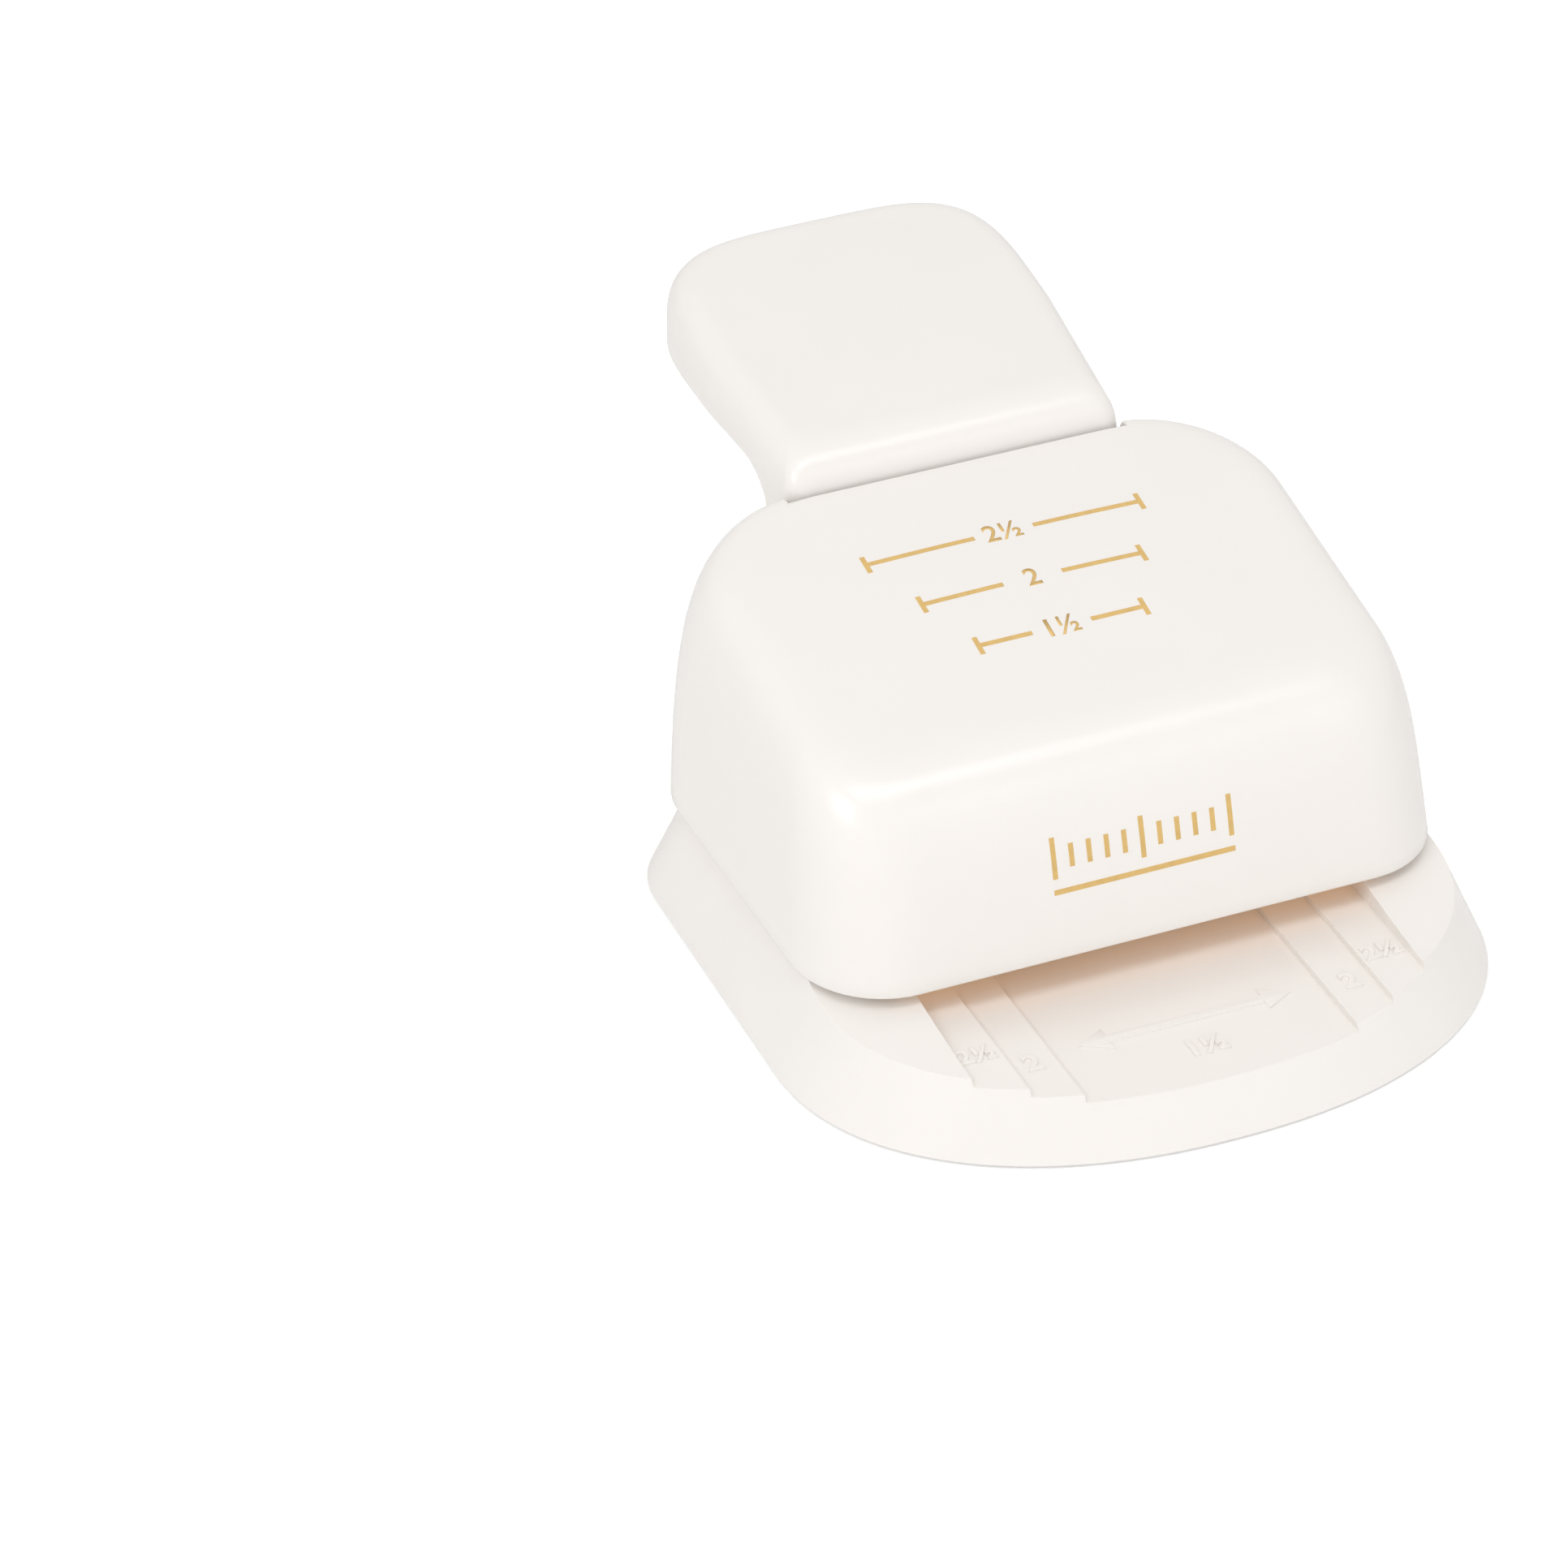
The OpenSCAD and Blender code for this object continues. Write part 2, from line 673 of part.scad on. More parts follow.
// Pivot
bracket_foot_t = 2;
bracket_head_d = screw_head_d - 0.8;
bracket_screw_end = 0.4;
module pivot_bracket(side) {
    x0 = side > 0 ? bracket_x : -bracket_x - bracket_t;
    foot_x0 = side > 0 ? bracket_x - bracket_foot_w : -bracket_x;
    difference() {
        union() {
            side_plate([
                [die_front_y, stripper_top_z], [bracket_rear_y, stripper_top_z],
                [pivot_y + eye_r, pivot_z], [pivot_y - eye_r, pivot_z]
            ], x0, x0 + bracket_t);
            cross_bar(pivot_y, pivot_z, eye_r, x0, x0 + bracket_t);
            block([foot_x0, die_front_y, stripper_top_z],
                [foot_x0 + bracket_foot_w, bracket_rear_y, stripper_top_z + bracket_foot_t]);
        }
        cross_bar(pivot_y, pivot_z, pivot_d / 2 + screw_play, -far, far);
        bracket_screw_places() cylinder(d = screw_d + 2 * screw_play, h = far);
    }
}
module pivot_bracket_left() { color(steel) pivot_bracket(-1); }
module pivot_bracket_right() { color(steel) pivot_bracket(1); }

module bracket_screws() {
    color(steel) bracket_screw_places()
        translate([0, 0, stripper_top_z + bracket_foot_t + screw_head_h])
            screw_down(screw_d, bracket_head_d, screw_head_h,
                bracket_foot_t + stripper_t - bracket_screw_end);
}

clip_groove_h = 0.5;
clip_groove_r = pivot_d / 2 - clip_groove_h;
clip_arm_gap = 0.6;
clip_x = arm_x + arm_t + clip_arm_gap;
clip_lip = 1.6;
clip_play = 0.05;
module pivot_pin() {
    color(steel) difference() {
        cross_bar(pivot_y, pivot_z, pivot_d / 2, -pin_reach, pin_reach);
        for (side = [-1, 1]) difference() {
            x0 = side > 0 ? clip_x : -clip_x - clip_t;
            cross_bar(pivot_y, pivot_z, pivot_d, x0, x0 + clip_t);
            cross_bar(pivot_y, pivot_z, clip_groove_r, -far, far);
        }
    }
}

module pivot_clips() {
    mouth_hw = clip_groove_r * 0.8;
    color(steel) for (side = [-1, 1]) difference() {
        x0 = side > 0 ? clip_x + clip_play : -clip_x - clip_t + clip_play;
        x1 = x0 + clip_t - 2 * clip_play;
        cross_bar(pivot_y, pivot_z, pivot_d / 2 + clip_lip, x0, x1);
        cross_bar(pivot_y, pivot_z, clip_groove_r + clip_play, -far, far);
        block([-far, pivot_y - mouth_hw, pivot_z - far], [far, pivot_y + mouth_hw, pivot_z]);
    }
}

// Head
head_edge_power = 4.24;
head_corner_share = 0.35;
head_outer_levels = [0, 0.3, 0.55, 0.72, 0.84, 0.92, 0.965, 0.99, 1];
head_inner_levels = [0, 0.5, 0.78, 0.92, 0.98, 1];
function head_outline(k, wall) =
    let (f = rounding(k, head_edge_power))
    rounded_box(
        head_w / 2 - head_side_lean * k - head_side_round * f - wall,
        head_front_y + head_front_lean * k + head_front_round * f + wall,
        head_rear_y - head_rear_lean * k - head_rear_round * f - wall,
        head_corner_r - (head_side_lean * k + head_side_round * f) * head_corner_share - wall);
function head_top(y) = head_top_z + (y - head_front_y) * head_top_rise;
function head_section(k, wall) = [
    for (p = head_outline(k, wall)) [p[0], p[1], head_z + (head_top(p[1]) - wall - head_z) * k]
];

module head_outer() {
    loft([for (k = head_outer_levels) head_section(k, 0)]);
}

module head_inner() {
    loft(concat([lift(head_outline(0, head_wall), head_z - cut)],
        [for (k = head_inner_levels) head_section(k, head_wall)]));
}

notch_hw = lever_front_hw + notch_side_gap;
notch_inner_y = notch_y - head_rear_lean - head_rear_round;
boss_h = 13;
boss_end_t = 2;
module head_cover() {
    color(cream) difference() {
        union() {
            difference() {
                head_outer();
                head_inner();
            }
            intersection() {
                cover_boss_places() translate([0, 0, seam_z]) cylinder(d = boss_d, h = boss_h);
                union() {
                    head_outer();
                    block([-head_w / 2 + head_wall, head_front_y + head_wall, seam_z],
                        [head_w / 2 - head_wall, head_rear_y - head_wall, head_z + cut]);
                }
            }
        }
        block([-notch_hw, notch_y, notch_floor_z], [notch_hw, far, far + far]);
        block([-notch_hw, notch_inner_y, notch_floor_z],
            [notch_hw, notch_y + cut, head_top(notch_inner_y) - head_wall]);
        cover_boss_places() translate([0, 0, seam_z - cut])
            cylinder(d = cover_screw_d + 2 * screw_play, h = boss_h - boss_end_t + cut);
    }
}

cover_screw_l = seam_z + boss_h - 2 * boss_end_t - cover_head_z - cover_head_h;
module cover_screws() {
    color(steel) cover_boss_places() translate([0, 0, cover_head_z])
        screw_up(cover_screw_d, cover_head_d, cover_head_h, cover_screw_l);
}

// Lever
lever_edge_power = 3;
lever_levels = [0, 0.4, 0.65, 0.82, 0.92, 0.98, 1];
lever_corner_r = 3;
function lever_outline(inset, r = lever_corner_r) =
    let (hw0 = lever_front_hw - inset, hw1 = lever_rear_hw - inset)
    concat(
        super_arc(hw1, lever_round_y, lever_round_d - inset, lever_round_power, 0, 180, 24),
        corner_arc(r - hw0, lever_front_y + inset + r, r, 180, 3),
        corner_arc(hw0 - r, lever_front_y + inset + r, r, 270, 3));
function lever_top(y) = lever_top_z + (y - lever_front_y) * lever_top_rise;
function lever_skirt(y) = skirt_z + (y - lever_front_y) * skirt_rise;
function lever_section(k) = [
    for (p = lever_outline(lever_round * rounding(k, lever_edge_power)))
        [p[0], p[1], lever_skirt(p[1]) + (lever_top(p[1]) - lever_skirt(p[1])) * k]
];
neck_z = skirt_z - neck_drop;

module lever_outer() {
    loft([for (k = lever_levels) lever_section(k)]);
}

module neck_outer() {
    intersection() {
        translate([0, 0, neck_z]) linear_extrude(lever_skirt(neck_rear_y) - neck_z)
            polygon(lever_outline(0));
        block([-far, lever_front_y - cut, neck_z - cut], [far, neck_rear_y, far]);
    }
}

// Room under the top of the lever, open downwards, in front of a wall behind the neck
module lever_room() {
    inner = lever_outline(lever_wall, lever_corner_r - lever_wall);
    loft([
        [for (p = inner) [p[0], p[1], lever_skirt(p[1]) - cut]],
        [for (p = inner) [p[0], p[1], lever_top(p[1]) - lever_wall]]
    ]);
}

module neck_room() {
    hw = lever_front_hw - lever_wall;
    block([-hw, lever_front_y + lever_wall, neck_z - cut],
        [hw, neck_rear_y - lever_wall, skirt_z + cut]);
    block([-hw, lever_front_y - cut, neck_z - cut],
        [hw, lever_front_y + lever_wall + cut, neck_window_z]);
}

pin_window_gap = 0.5;
neck_pin_y = arm_knee_y;
neck_pin_z = neck_window_z + pin_d / 2 + pin_window_gap;
tail_pin_y = lever_rear_y - tail_pin_in;
tail_pin_z = (lever_skirt(tail_pin_y) + arm_sole + lever_top(tail_pin_y) - lever_wall) / 2;
pin_seat = 1.4;
pin_end_gap = 0.1;
tail_pin_trim = 2;
neck_pin_hw = lever_front_hw - lever_wall + pin_seat;
tail_pin_hw = lever_rear_hw - lever_wall + pin_seat - tail_pin_trim;

screw_post_wall = 2;
screw_post_gap = 0.3;
screw_post_z = plate_lip + plate_t + screw_post_gap;
module handle_screw_places() {
    for (y = handle_screw_ys) translate([0, y, lever_skirt(y)]) children();
}

module handle_screw_posts() {
    intersection() {
        handle_screw_places() translate([0, 0, screw_post_z])
            cylinder(d = screw_d + 2 * screw_post_wall, h = far);
        lever_outer();
    }
}

module lever_handle() {
    color(cream) difference() {
        union() {
            difference() {
                union() {
                    lever_outer();
                    neck_outer();
                }
                difference() {
                    lever_room();
                    block([-far, neck_rear_y - lever_wall, neck_z],
                        [far, neck_rear_y, lever_skirt(neck_rear_y) + skim]);
                }
                neck_room();
            }
            handle_screw_posts();
        }
        handle_screw_places() translate([0, 0, -cut])
            cylinder(d = screw_d + 2 * screw_play, h = handle_screw_l + 2 * cut);
        cross_bar(neck_pin_y, neck_pin_z, pin_d / 2 + screw_play, -neck_pin_hw, neck_pin_hw);
        cross_bar(tail_pin_y, tail_pin_z, tail_pin_d / 2 + screw_play, -tail_pin_hw, tail_pin_hw);
    }
}

// Steel arm: from the pivot under the head top, up the neck and along the lever
arm_roof_gap = 0.4;
arm_neck_lift = 0.6;
module lever_arm(side) {
    x0 = side > 0 ? arm_x : -arm_x - arm_t;
    x1 = x0 + arm_t;
    neck_y0 = lever_front_y + lever_wall + arm_neck_gap;
    neck_y1 = neck_rear_y - lever_wall - arm_neck_gap;
    tail_y = lever_rear_y - arm_tail_in;
    roof = lever_wall + arm_roof_gap;
    function mid_z(y) = pivot_z + (y - pivot_y) * arm_lean;
    difference() {
        union() {
            cross_bar(pivot_y, pivot_z, eye_r, x0, x1);
            cross_bar(nose_y, nose_z, nose_r, x0, x1);
            side_plate([
                [pivot_y, pivot_z - arm_hh], [neck_y1, mid_z(neck_y1) - arm_hh],
                [neck_y1, mid_z(neck_y1) + arm_hh], [pivot_y, pivot_z + arm_hh]
            ], x0, x1);
            side_plate([
                [neck_y0, mid_z(neck_y0)], [neck_y1, mid_z(neck_y1)],
                [neck_y1, lever_skirt(neck_rear_y) + arm_neck_lift],
                [neck_rear_y + cut, lever_skirt(neck_rear_y) + arm_sole],
                [tail_y, lever_skirt(tail_y) + arm_sole], [tail_y, lever_top(tail_y) - roof],
                [neck_y0, lever_top(neck_y0) - roof]
            ], x0, x1);
        }
        cross_bar(pivot_y, pivot_z, pivot_d / 2 + bush_play + bush_wall, -far, far);
        cross_bar(neck_pin_y, neck_pin_z, pin_d / 2 + screw_play, -far, far);
        cross_bar(tail_pin_y, tail_pin_z, tail_pin_d / 2 + screw_play, -far, far);
    }
}
module lever_arm_left() { color(steel) lever_arm(-1); }
module lever_arm_right() { color(steel) lever_arm(1); }

module handle_pins() {
    color(steel) {
        cross_bar(neck_pin_y, neck_pin_z, pin_d / 2,
            pin_end_gap - neck_pin_hw, neck_pin_hw - pin_end_gap);
        cross_bar(tail_pin_y, tail_pin_z, tail_pin_d / 2,
            pin_end_gap - tail_pin_hw, tail_pin_hw - pin_end_gap);
    }
}

module handle_underplate() {
    y0 = neck_rear_y + fit_gap;
    y1 = lever_rear_y;
    z0 = plate_lip;
    z1 = plate_lip + plate_t;
    color(cream) difference() {
        intersection() {
            translate([0, 0, skirt_z - cut]) linear_extrude(far)
                polygon(lever_outline(lever_wall + fit_gap));
            side_plate([
                [y0, lever_skirt(y0) + z0], [y1, lever_skirt(y1) + z0],
                [y1, lever_skirt(y1) + z1], [y0, lever_skirt(y0) + z1]
            ], -far, far);
        }
        handle_screw_places() translate([0, 0, -far]) cylinder(d = screw_d + 2 * fit_gap, h = far + far);
    }
}

handle_screw_bite = 3.6;
handle_screw_l = plate_t + handle_screw_bite;
module handle_screws() {
    color(steel) handle_screw_places() translate([0, 0, -screw_head_h])
        screw_up(screw_d, screw_head_d, screw_head_h, handle_screw_l);
}

// Flanged bushes of the lever on the pivot pin
module pivot_bushes() {
    flange_t = 1;
    flange_lip = 0.6;
    r = pivot_d / 2 + bush_play;
    color(brass) for (side = [-1, 1]) difference() {
        union() {
            cross_bar(pivot_y, pivot_z, r + bush_wall - screw_play,
                side > 0 ? arm_x : -arm_x - arm_t, side > 0 ? arm_x + arm_t : -arm_x);
            cross_bar(pivot_y, pivot_z, r + bush_wall + flange_lip,
                side > 0 ? arm_x - flange_t : -arm_x, side > 0 ? arm_x : -arm_x + flange_t);
        }
        cross_bar(pivot_y, pivot_z, r, -far, far);
    }
}

// Carriage
ear_bore_r = post_d / 2 + bush_play + bush_wall;
cutter_screw_side_in = 2;
cutter_screw_rear_in = 4;
module cutter_screw_places() {
    both_sides(strip_medium_w / 2 - cutter_screw_side_in)
        translate([0, end_rear_y - cutter_screw_rear_in, 0]) children();
    both_sides(hang_slot_l / 4) translate([0, hang_slot_y + hang_slot_peak / 4, 0]) children();
}

cutter_head_h = 1.8;
module punch_carriage() {
    color(alloy) difference() {
        union() {
            block([-post_x, carriage_front_y, carriage_z], [post_x, carriage_rear_y, carriage_top_z]);
            post_places() translate([0, 0, carriage_z]) cylinder(d = ear_d, h = ear_top_z - carriage_z);
        }
        post_places() {
            translate([0, 0, carriage_z - cut])
                cylinder(d = ear_pocket_d, h = spring_top_z - carriage_z + cut);
            cylinder(r = ear_bore_r, h = far);
        }
        cutter_screw_places() {
            translate([0, 0, carriage_z - cut]) cylinder(d = screw_d + 2 * fit_gap, h = far);
            translate([0, 0, carriage_top_z - cutter_head_h])
                cylinder(d = screw_head_d + 2 * fit_gap, h = far);
        }
    }
}

module carriage_bushes() {
    color(brass) post_places() translate([0, 0, spring_top_z]) difference() {
        cylinder(r = ear_bore_r - screw_play, h = ear_wall);
        translate([0, 0, -cut]) cylinder(d = post_d + 2 * bush_play, h = ear_wall + 2 * cut);
    }
}

pad_l = 10;
pad_lip = 1;
module press_pads() {
    hw = arm_t / 2 + pad_lip;
    color(nylon) both_sides(arm_x + arm_t / 2)
        block([-hw, nose_y - pad_l / 2, carriage_top_z], [hw, nose_y + pad_l / 2, pad_top_z]);
}

tap_h = 5;
tap_end = 1;
module cutter_tap_holes() {
    cutter_screw_places() translate([0, 0, carriage_z - tap_h])
        cylinder(d = screw_d + 2 * screw_play, h = far);
}

module end_cutter() {
    color(tool_steel) difference() {
        translate([0, 0, cutter_z]) linear_extrude(carriage_z - cutter_z) polygon(end_outline(0));
        cutter_tap_holes();
    }
}

module slot_cutter() {
    color(tool_steel) difference() {
        translate([0, 0, cutter_z]) linear_extrude(carriage_z - cutter_z) hang_slot(0);
        cutter_tap_holes();
    }
}

cutter_head_in = 0.2;
module cutter_screws() {
    color(steel) cutter_screw_places() translate([0, 0, carriage_top_z - cutter_head_in])
        screw_down(screw_d, screw_head_d, cutter_head_h - cutter_head_in,
            carriage_t - cutter_head_h + tap_h - tap_end);
}

base_shell();
rubber_feet();
die_plate();
spacer_left();
spacer_right();
paper_stop();
stripper_plate();
stack_screws();
guide_post_left();
guide_post_right();
post_retainers();
return_spring_left();
return_spring_right();
pivot_bracket_left();
pivot_bracket_right();
bracket_screws();
pivot_pin();
pivot_clips();
head_cover();
cover_screws();
lever_handle();
lever_arm_left();
lever_arm_right();
handle_underplate();
handle_screws();
handle_pins();
pivot_bushes();
punch_carriage();
carriage_bushes();
press_pads();
end_cutter();
slot_cutter();
cutter_screws();
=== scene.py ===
"""Looks of a desk label punch: moulded shells, gold print, raised marks, finishes and a small studio.

Lengths are metres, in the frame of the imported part: +X right, +Y back, +Z up.
"""

import json
import math

import bmesh
import bpy
import numpy as np
from bpy.props import FloatProperty, FloatVectorProperty, IntProperty, PointerProperty
from mathutils import Matrix, Vector
from mathutils.bvhtree import BVHTree


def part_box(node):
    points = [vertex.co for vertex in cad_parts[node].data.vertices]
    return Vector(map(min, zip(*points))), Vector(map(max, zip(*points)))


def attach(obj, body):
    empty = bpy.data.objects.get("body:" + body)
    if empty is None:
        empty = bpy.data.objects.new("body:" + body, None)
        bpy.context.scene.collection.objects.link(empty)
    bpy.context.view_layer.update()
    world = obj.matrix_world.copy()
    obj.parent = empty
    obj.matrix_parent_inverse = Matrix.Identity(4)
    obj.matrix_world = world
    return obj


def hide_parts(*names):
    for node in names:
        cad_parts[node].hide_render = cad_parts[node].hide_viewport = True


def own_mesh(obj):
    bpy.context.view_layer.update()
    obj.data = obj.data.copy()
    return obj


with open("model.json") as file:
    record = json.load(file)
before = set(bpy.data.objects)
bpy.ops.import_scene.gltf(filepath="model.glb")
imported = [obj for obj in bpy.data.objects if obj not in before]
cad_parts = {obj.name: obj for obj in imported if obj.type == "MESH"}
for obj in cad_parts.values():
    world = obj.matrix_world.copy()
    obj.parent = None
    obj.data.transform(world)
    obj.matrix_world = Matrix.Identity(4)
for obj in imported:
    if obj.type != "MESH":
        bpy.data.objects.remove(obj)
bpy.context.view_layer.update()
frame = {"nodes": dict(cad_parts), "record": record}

bl_info = {
    "name": "Label Punch Looks",
    "version": (1, 0, 0),
    "blender": (4, 5, 0),
    "location": "3D View > Sidebar > Label Punch",
    "description": "Builds the shells, print, finishes and studio of a desk label punch",
    "category": "Object",
}

MM = 0.001
RIGHT, _, UP = np.eye(3)


def length(name, description, default):
    """A length property, given in millimetres."""
    return FloatProperty(
        name=name, description=description, default=default * MM, unit="LENGTH", precision=5)


def share(name, description, default):
    """A plain number property."""
    return FloatProperty(name=name, description=description, default=default)


def angle(name, description, default):
    """An angle property, given in degrees."""
    return FloatProperty(name=name, description=description, default=math.radians(default), unit="ROTATION")


def colour(name, description, default):
    """A colour property."""
    return FloatVectorProperty(
        name=name, description=description, default=default, subtype="COLOR", size=3, min=0, max=1)


class BaseSizes(bpy.types.PropertyGroup):
    """Sizes of the moulded base"""

    bow: length("Bow", "Depth of the rounded front half", 35.5)
    front_power: share("Front power", "Squareness of the rounded front", 2.18)
    corner_r: length("Corner radius", "Radius of the rear corners", 14)
    taper: length("Taper", "How much the base narrows towards its rear", 0.9)
    spread: length("Spread", "How far the foot of each side stands out", 0.5)
    side_lean: length("Side lean", "How far a side leans in up to the seam", 5.3)
    front_lean: length("Front lean", "How far the front leans in up to the seam", 7.9)
    rear_lean: length("Rear lean", "How far the rear leans in up to the seam", 1.8)
    wall: length("Wall", "Wall of the base", 3)
    floor_z: length("Floor", "Height of the lowest channel floor", 7)
    step_h: length("Step", "Height of each channel step", 0.9)
    shoulder_in: length("Shoulder start", "Distance from the front to where the shoulders rise", 12.5)
    shoulder_d: length("Shoulder depth", "Depth over which the shoulders rise to the seam", 25)
    strip_play: length("Play", "Play of a strip in its channel on each side", 0.2)
    frame_t: length("Frame", "Thickness of the frame under the die", 2)
    deck_t: length("Deck", "Thickness of the table", 2.4)
    edge_r: length("Edge", "Radius of the moulded edges", 0.5)


class HeadSizes(bpy.types.PropertyGroup):
    """Sizes of the moulded head"""

    seam: length("Seam", "Gap between base and head", 0.5)
    top_z: length("Top", "Height of the sloping top above the front edge", 37.6)
    top_rise: share("Rise", "Rise of the top per length towards the rear", 0.21)
    corner_r: length("Corner radius", "Corner radius at the lower edge", 12.5)
    corner_share: share("Corner share", "Share of the inset that the corner radius loses", 0.35)
    edge_power: share("Edge power", "Squareness of the rounded top edge", 4.24)
    side_lean: length("Side lean", "Lean of the sides up to the top", 1.9)
    front_lean: length("Front lean", "Lean of the front up to the top", 6.1)
    rear_lean: length("Rear lean", "Lean of the rear up to the top", -2.2)
    rear_grow: length("Rear corners", "How much the radius of the rear corners grows up to the top", 6)
    side_round: length("Side round", "Reach of the rounded top edge over the sides", 9.6)
    front_round: length("Front round", "Reach of the rounded top edge over the front", 13.5)
    rear_round: length("Rear round", "Reach of the rounded top edge over the rear", 5.2)
    wall: length("Wall", "Wall of the head", 2.5)
    crown: length("Crown", "Rise of the middle of the top", 0.5)
    lip_r: length("Lip", "Radius of the cut edges", 0.4)
    opening_hw: length("Opening", "Half width of the rear opening's rim", 24.9)
    opening_sill: length("Sill", "Height of the rear opening above the lower edge", 3.2)
    opening_gap: length("Opening cut", "Distance of the opening's cut from the rear face", 2.05)
    rim_gap: length("Rim gap", "Gap between the opening's top rim and the lever", 0.3)


class LeverSizes(bpy.types.PropertyGroup):
    """Sizes of the moulded lever"""

    front_hw: length("Front half width", "Half width at the front", 24.2)
    spread: length("Spread", "How far the widest part stands out", 1.0)
    round_d: length("Round end", "Depth of the rounded rear end", 26)
    round_power: share("Round power", "Squareness of the rounded rear end", 4.2)
    top_z: length("Top", "Height of the top at the front face", 54.7)
    top_rise: share("Top rise", "Rise of the top per length towards the rear", 0.16)
    skirt_z: length("Skirt", "Height of the skirt's lower edge at the front", 49.2)
    skirt_rise: share("Skirt rise", "Rise of the skirt's lower edge per length", 0.038)
    edge_r: length("Edge", "Reach of the rounded top edge", 4.4)
    front_r: length("Front edge", "Reach of the rounded top edge over the front", 6.5)
    edge_h: length("Edge height", "Height of the rounded top edge", 6.6)
    edge_power: share("Edge power", "Squareness of the rounded top edge", 2.3)
    corner_r: length("Corner radius", "Radius of the front corners", 2.2)
    inner_r: length("Inner corners", "Radius of the front corners inside", 0.4)
    wall: length("Wall", "Wall of the lever", 2.6)
    neck_d: length("Neck", "Depth of the neck at its sides", 5.8)
    neck_back: length("Neck back", "Depth of the neck in its middle", 11.3)
    neck_bend: length("Neck bend", "Width of the rounded rear corners of the neck", 5)
    neck_wall: length("Neck wall", "Thickness of the neck's rear wall", 1.8)
    neck_fillet: length("Neck fillet", "Fillet between the neck and the skirt", 8)
    window_z: length("Window", "Height of the neck's opening for the arms", 42.58)
    crown: length("Crown", "Rise of the middle of the top", 0.5)
    lip_r: length("Lip", "Radius of the lower edge", 0.5)


class MarkSizes(bpy.types.PropertyGroup):
    """Sizes of the print and the raised marks"""

    stroke: length("Stroke", "Width of a printed line", 0.7)
    bold: length("Bold", "How much the printed numbers are thickened", 0.06)
    film: length("Film", "Height of the print above the plastic", 0.03)
    number_h: length("Number", "Size of a printed number", 4.2)
    end_h: length("End", "Length of the end stroke of a width line", 3)
    row_gap: length("Row gap", "Distance between the width lines", 9)
    tick_gap: length("Tick gap", "Distance between the ticks on the front", 2.5)
    tick_h: length("Tick", "Length of a tick on the front", 3)
    tick_count: IntProperty(name="Ticks", description="Number of ticks on the front", default=11, min=3)
    raised: length("Raised", "Height of the raised marks on the table", 0.34)
    raised_edge: length("Raised edge", "Radius of the edges of the raised marks", 0.07)
    raised_bold: length("Raised bold", "How much the raised numbers are thickened", 0.08)
    raised_h: length("Raised size", "Size of a raised number", 4.6)
    outer_h: length("Outer size", "Size of the raised numbers in the outer channels", 4.1)


class SpringSizes(bpy.types.PropertyGroup):
    """Sizes of the return springs"""

    radius: length("Radius", "Radius of the coil at the middle of its wire", 4.2)
    wire: length("Wire", "Diameter of the wire", 1)
    height: length("Height", "Height of a spring at rest", 15)
    end_gap: length("End gap", "Gap between a spring and its seat", 0.1)
    stroke: length("Stroke", "How much a spring shortens at full press", 6.6)
    turns: share("Turns", "Number of turns", 6)


class LookColours(bpy.types.PropertyGroup):
    """Colours of the materials"""

    cream_plastic: colour("Plastic", "Moulded shells", (0.9, 0.864, 0.826))
    gold_print: colour("Print", "Printed lines and numbers", (0.73, 0.485, 0.17))
    dark_rubber: colour("Rubber", "Feet", (0.072, 0.07, 0.066))
    tool_steel: colour("Tool steel", "Cutters, die and plates", (0.39, 0.4, 0.42))
    cast_alloy: colour("Alloy", "Cast pieces", (0.585, 0.595, 0.615))
    bright_steel: colour("Bright steel", "Pins, screws and springs", (0.6, 0.61, 0.63))
    bearing_brass: colour("Brass", "Bushes", (0.76, 0.56, 0.23))
    pad_nylon: colour("Nylon", "Press pads", (0.705, 0.715, 0.665))


class StudioSettings(bpy.types.PropertyGroup):
    """Camera, lights and floor"""

    camera_place: FloatVectorProperty(
        name="Camera", description="Place of the camera", default=(-0.34693, -0.72440, 0.55847),
        subtype="TRANSLATION", size=3)
    azimuth: angle("Azimuth", "Turn of the camera round Z", -23.4)
    elevation: angle("Elevation", "Height of the camera over the table", 34.3)
    focal_px: share("Focal length", "Focal length in photo pixels", 9000)
    photo_px: share("Photo width", "Width of the photo in pixels", 1932)
    sensor: share("Sensor", "Sensor width in millimetres", 36)
    sky: share("Sky", "Strength of the light from straight above", 0.592)
    horizon: share("Horizon", "Strength of the light from the horizon", 0.82)
    floor_lift: share("Floor lift", "Light that the floor shows to the camera alone", 0.28)
    glow_power: share("Glow", "Power of the warm light inside the head, in milliwatts", 1.15)
    front_power: share("Front", "Power of the soft box on the front right, in watts", 0.25)
    left_power: share("Left", "Power of the soft box on the left, in watts", 1.65)
    top_power: share("Top", "Power of the soft box above, in watts", 2.05)


SETTINGS = {
    "punch_base": BaseSizes,
    "punch_head": HeadSizes,
    "punch_lever": LeverSizes,
    "punch_marks": MarkSizes,
    "punch_springs": SpringSizes,
    "punch_colours": LookColours,
    "punch_studio": StudioSettings,
}


# Frame values

# Number and width of each paper strip, small to large
STRIPS = {"1½": 38.1 * MM, "2": 50.8 * MM, "2½": 63.5 * MM}
# A length that reaches past every face of the part
FAR = 0.2
# How far a cut goes past the face that it opens
PAST = 1 * MM
# Points closer than this are one point
JOIN = 1e-7


def corners(node):
    """Low and high corner of a node as arrays."""
    low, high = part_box(node)
    return np.array(low), np.array(high)


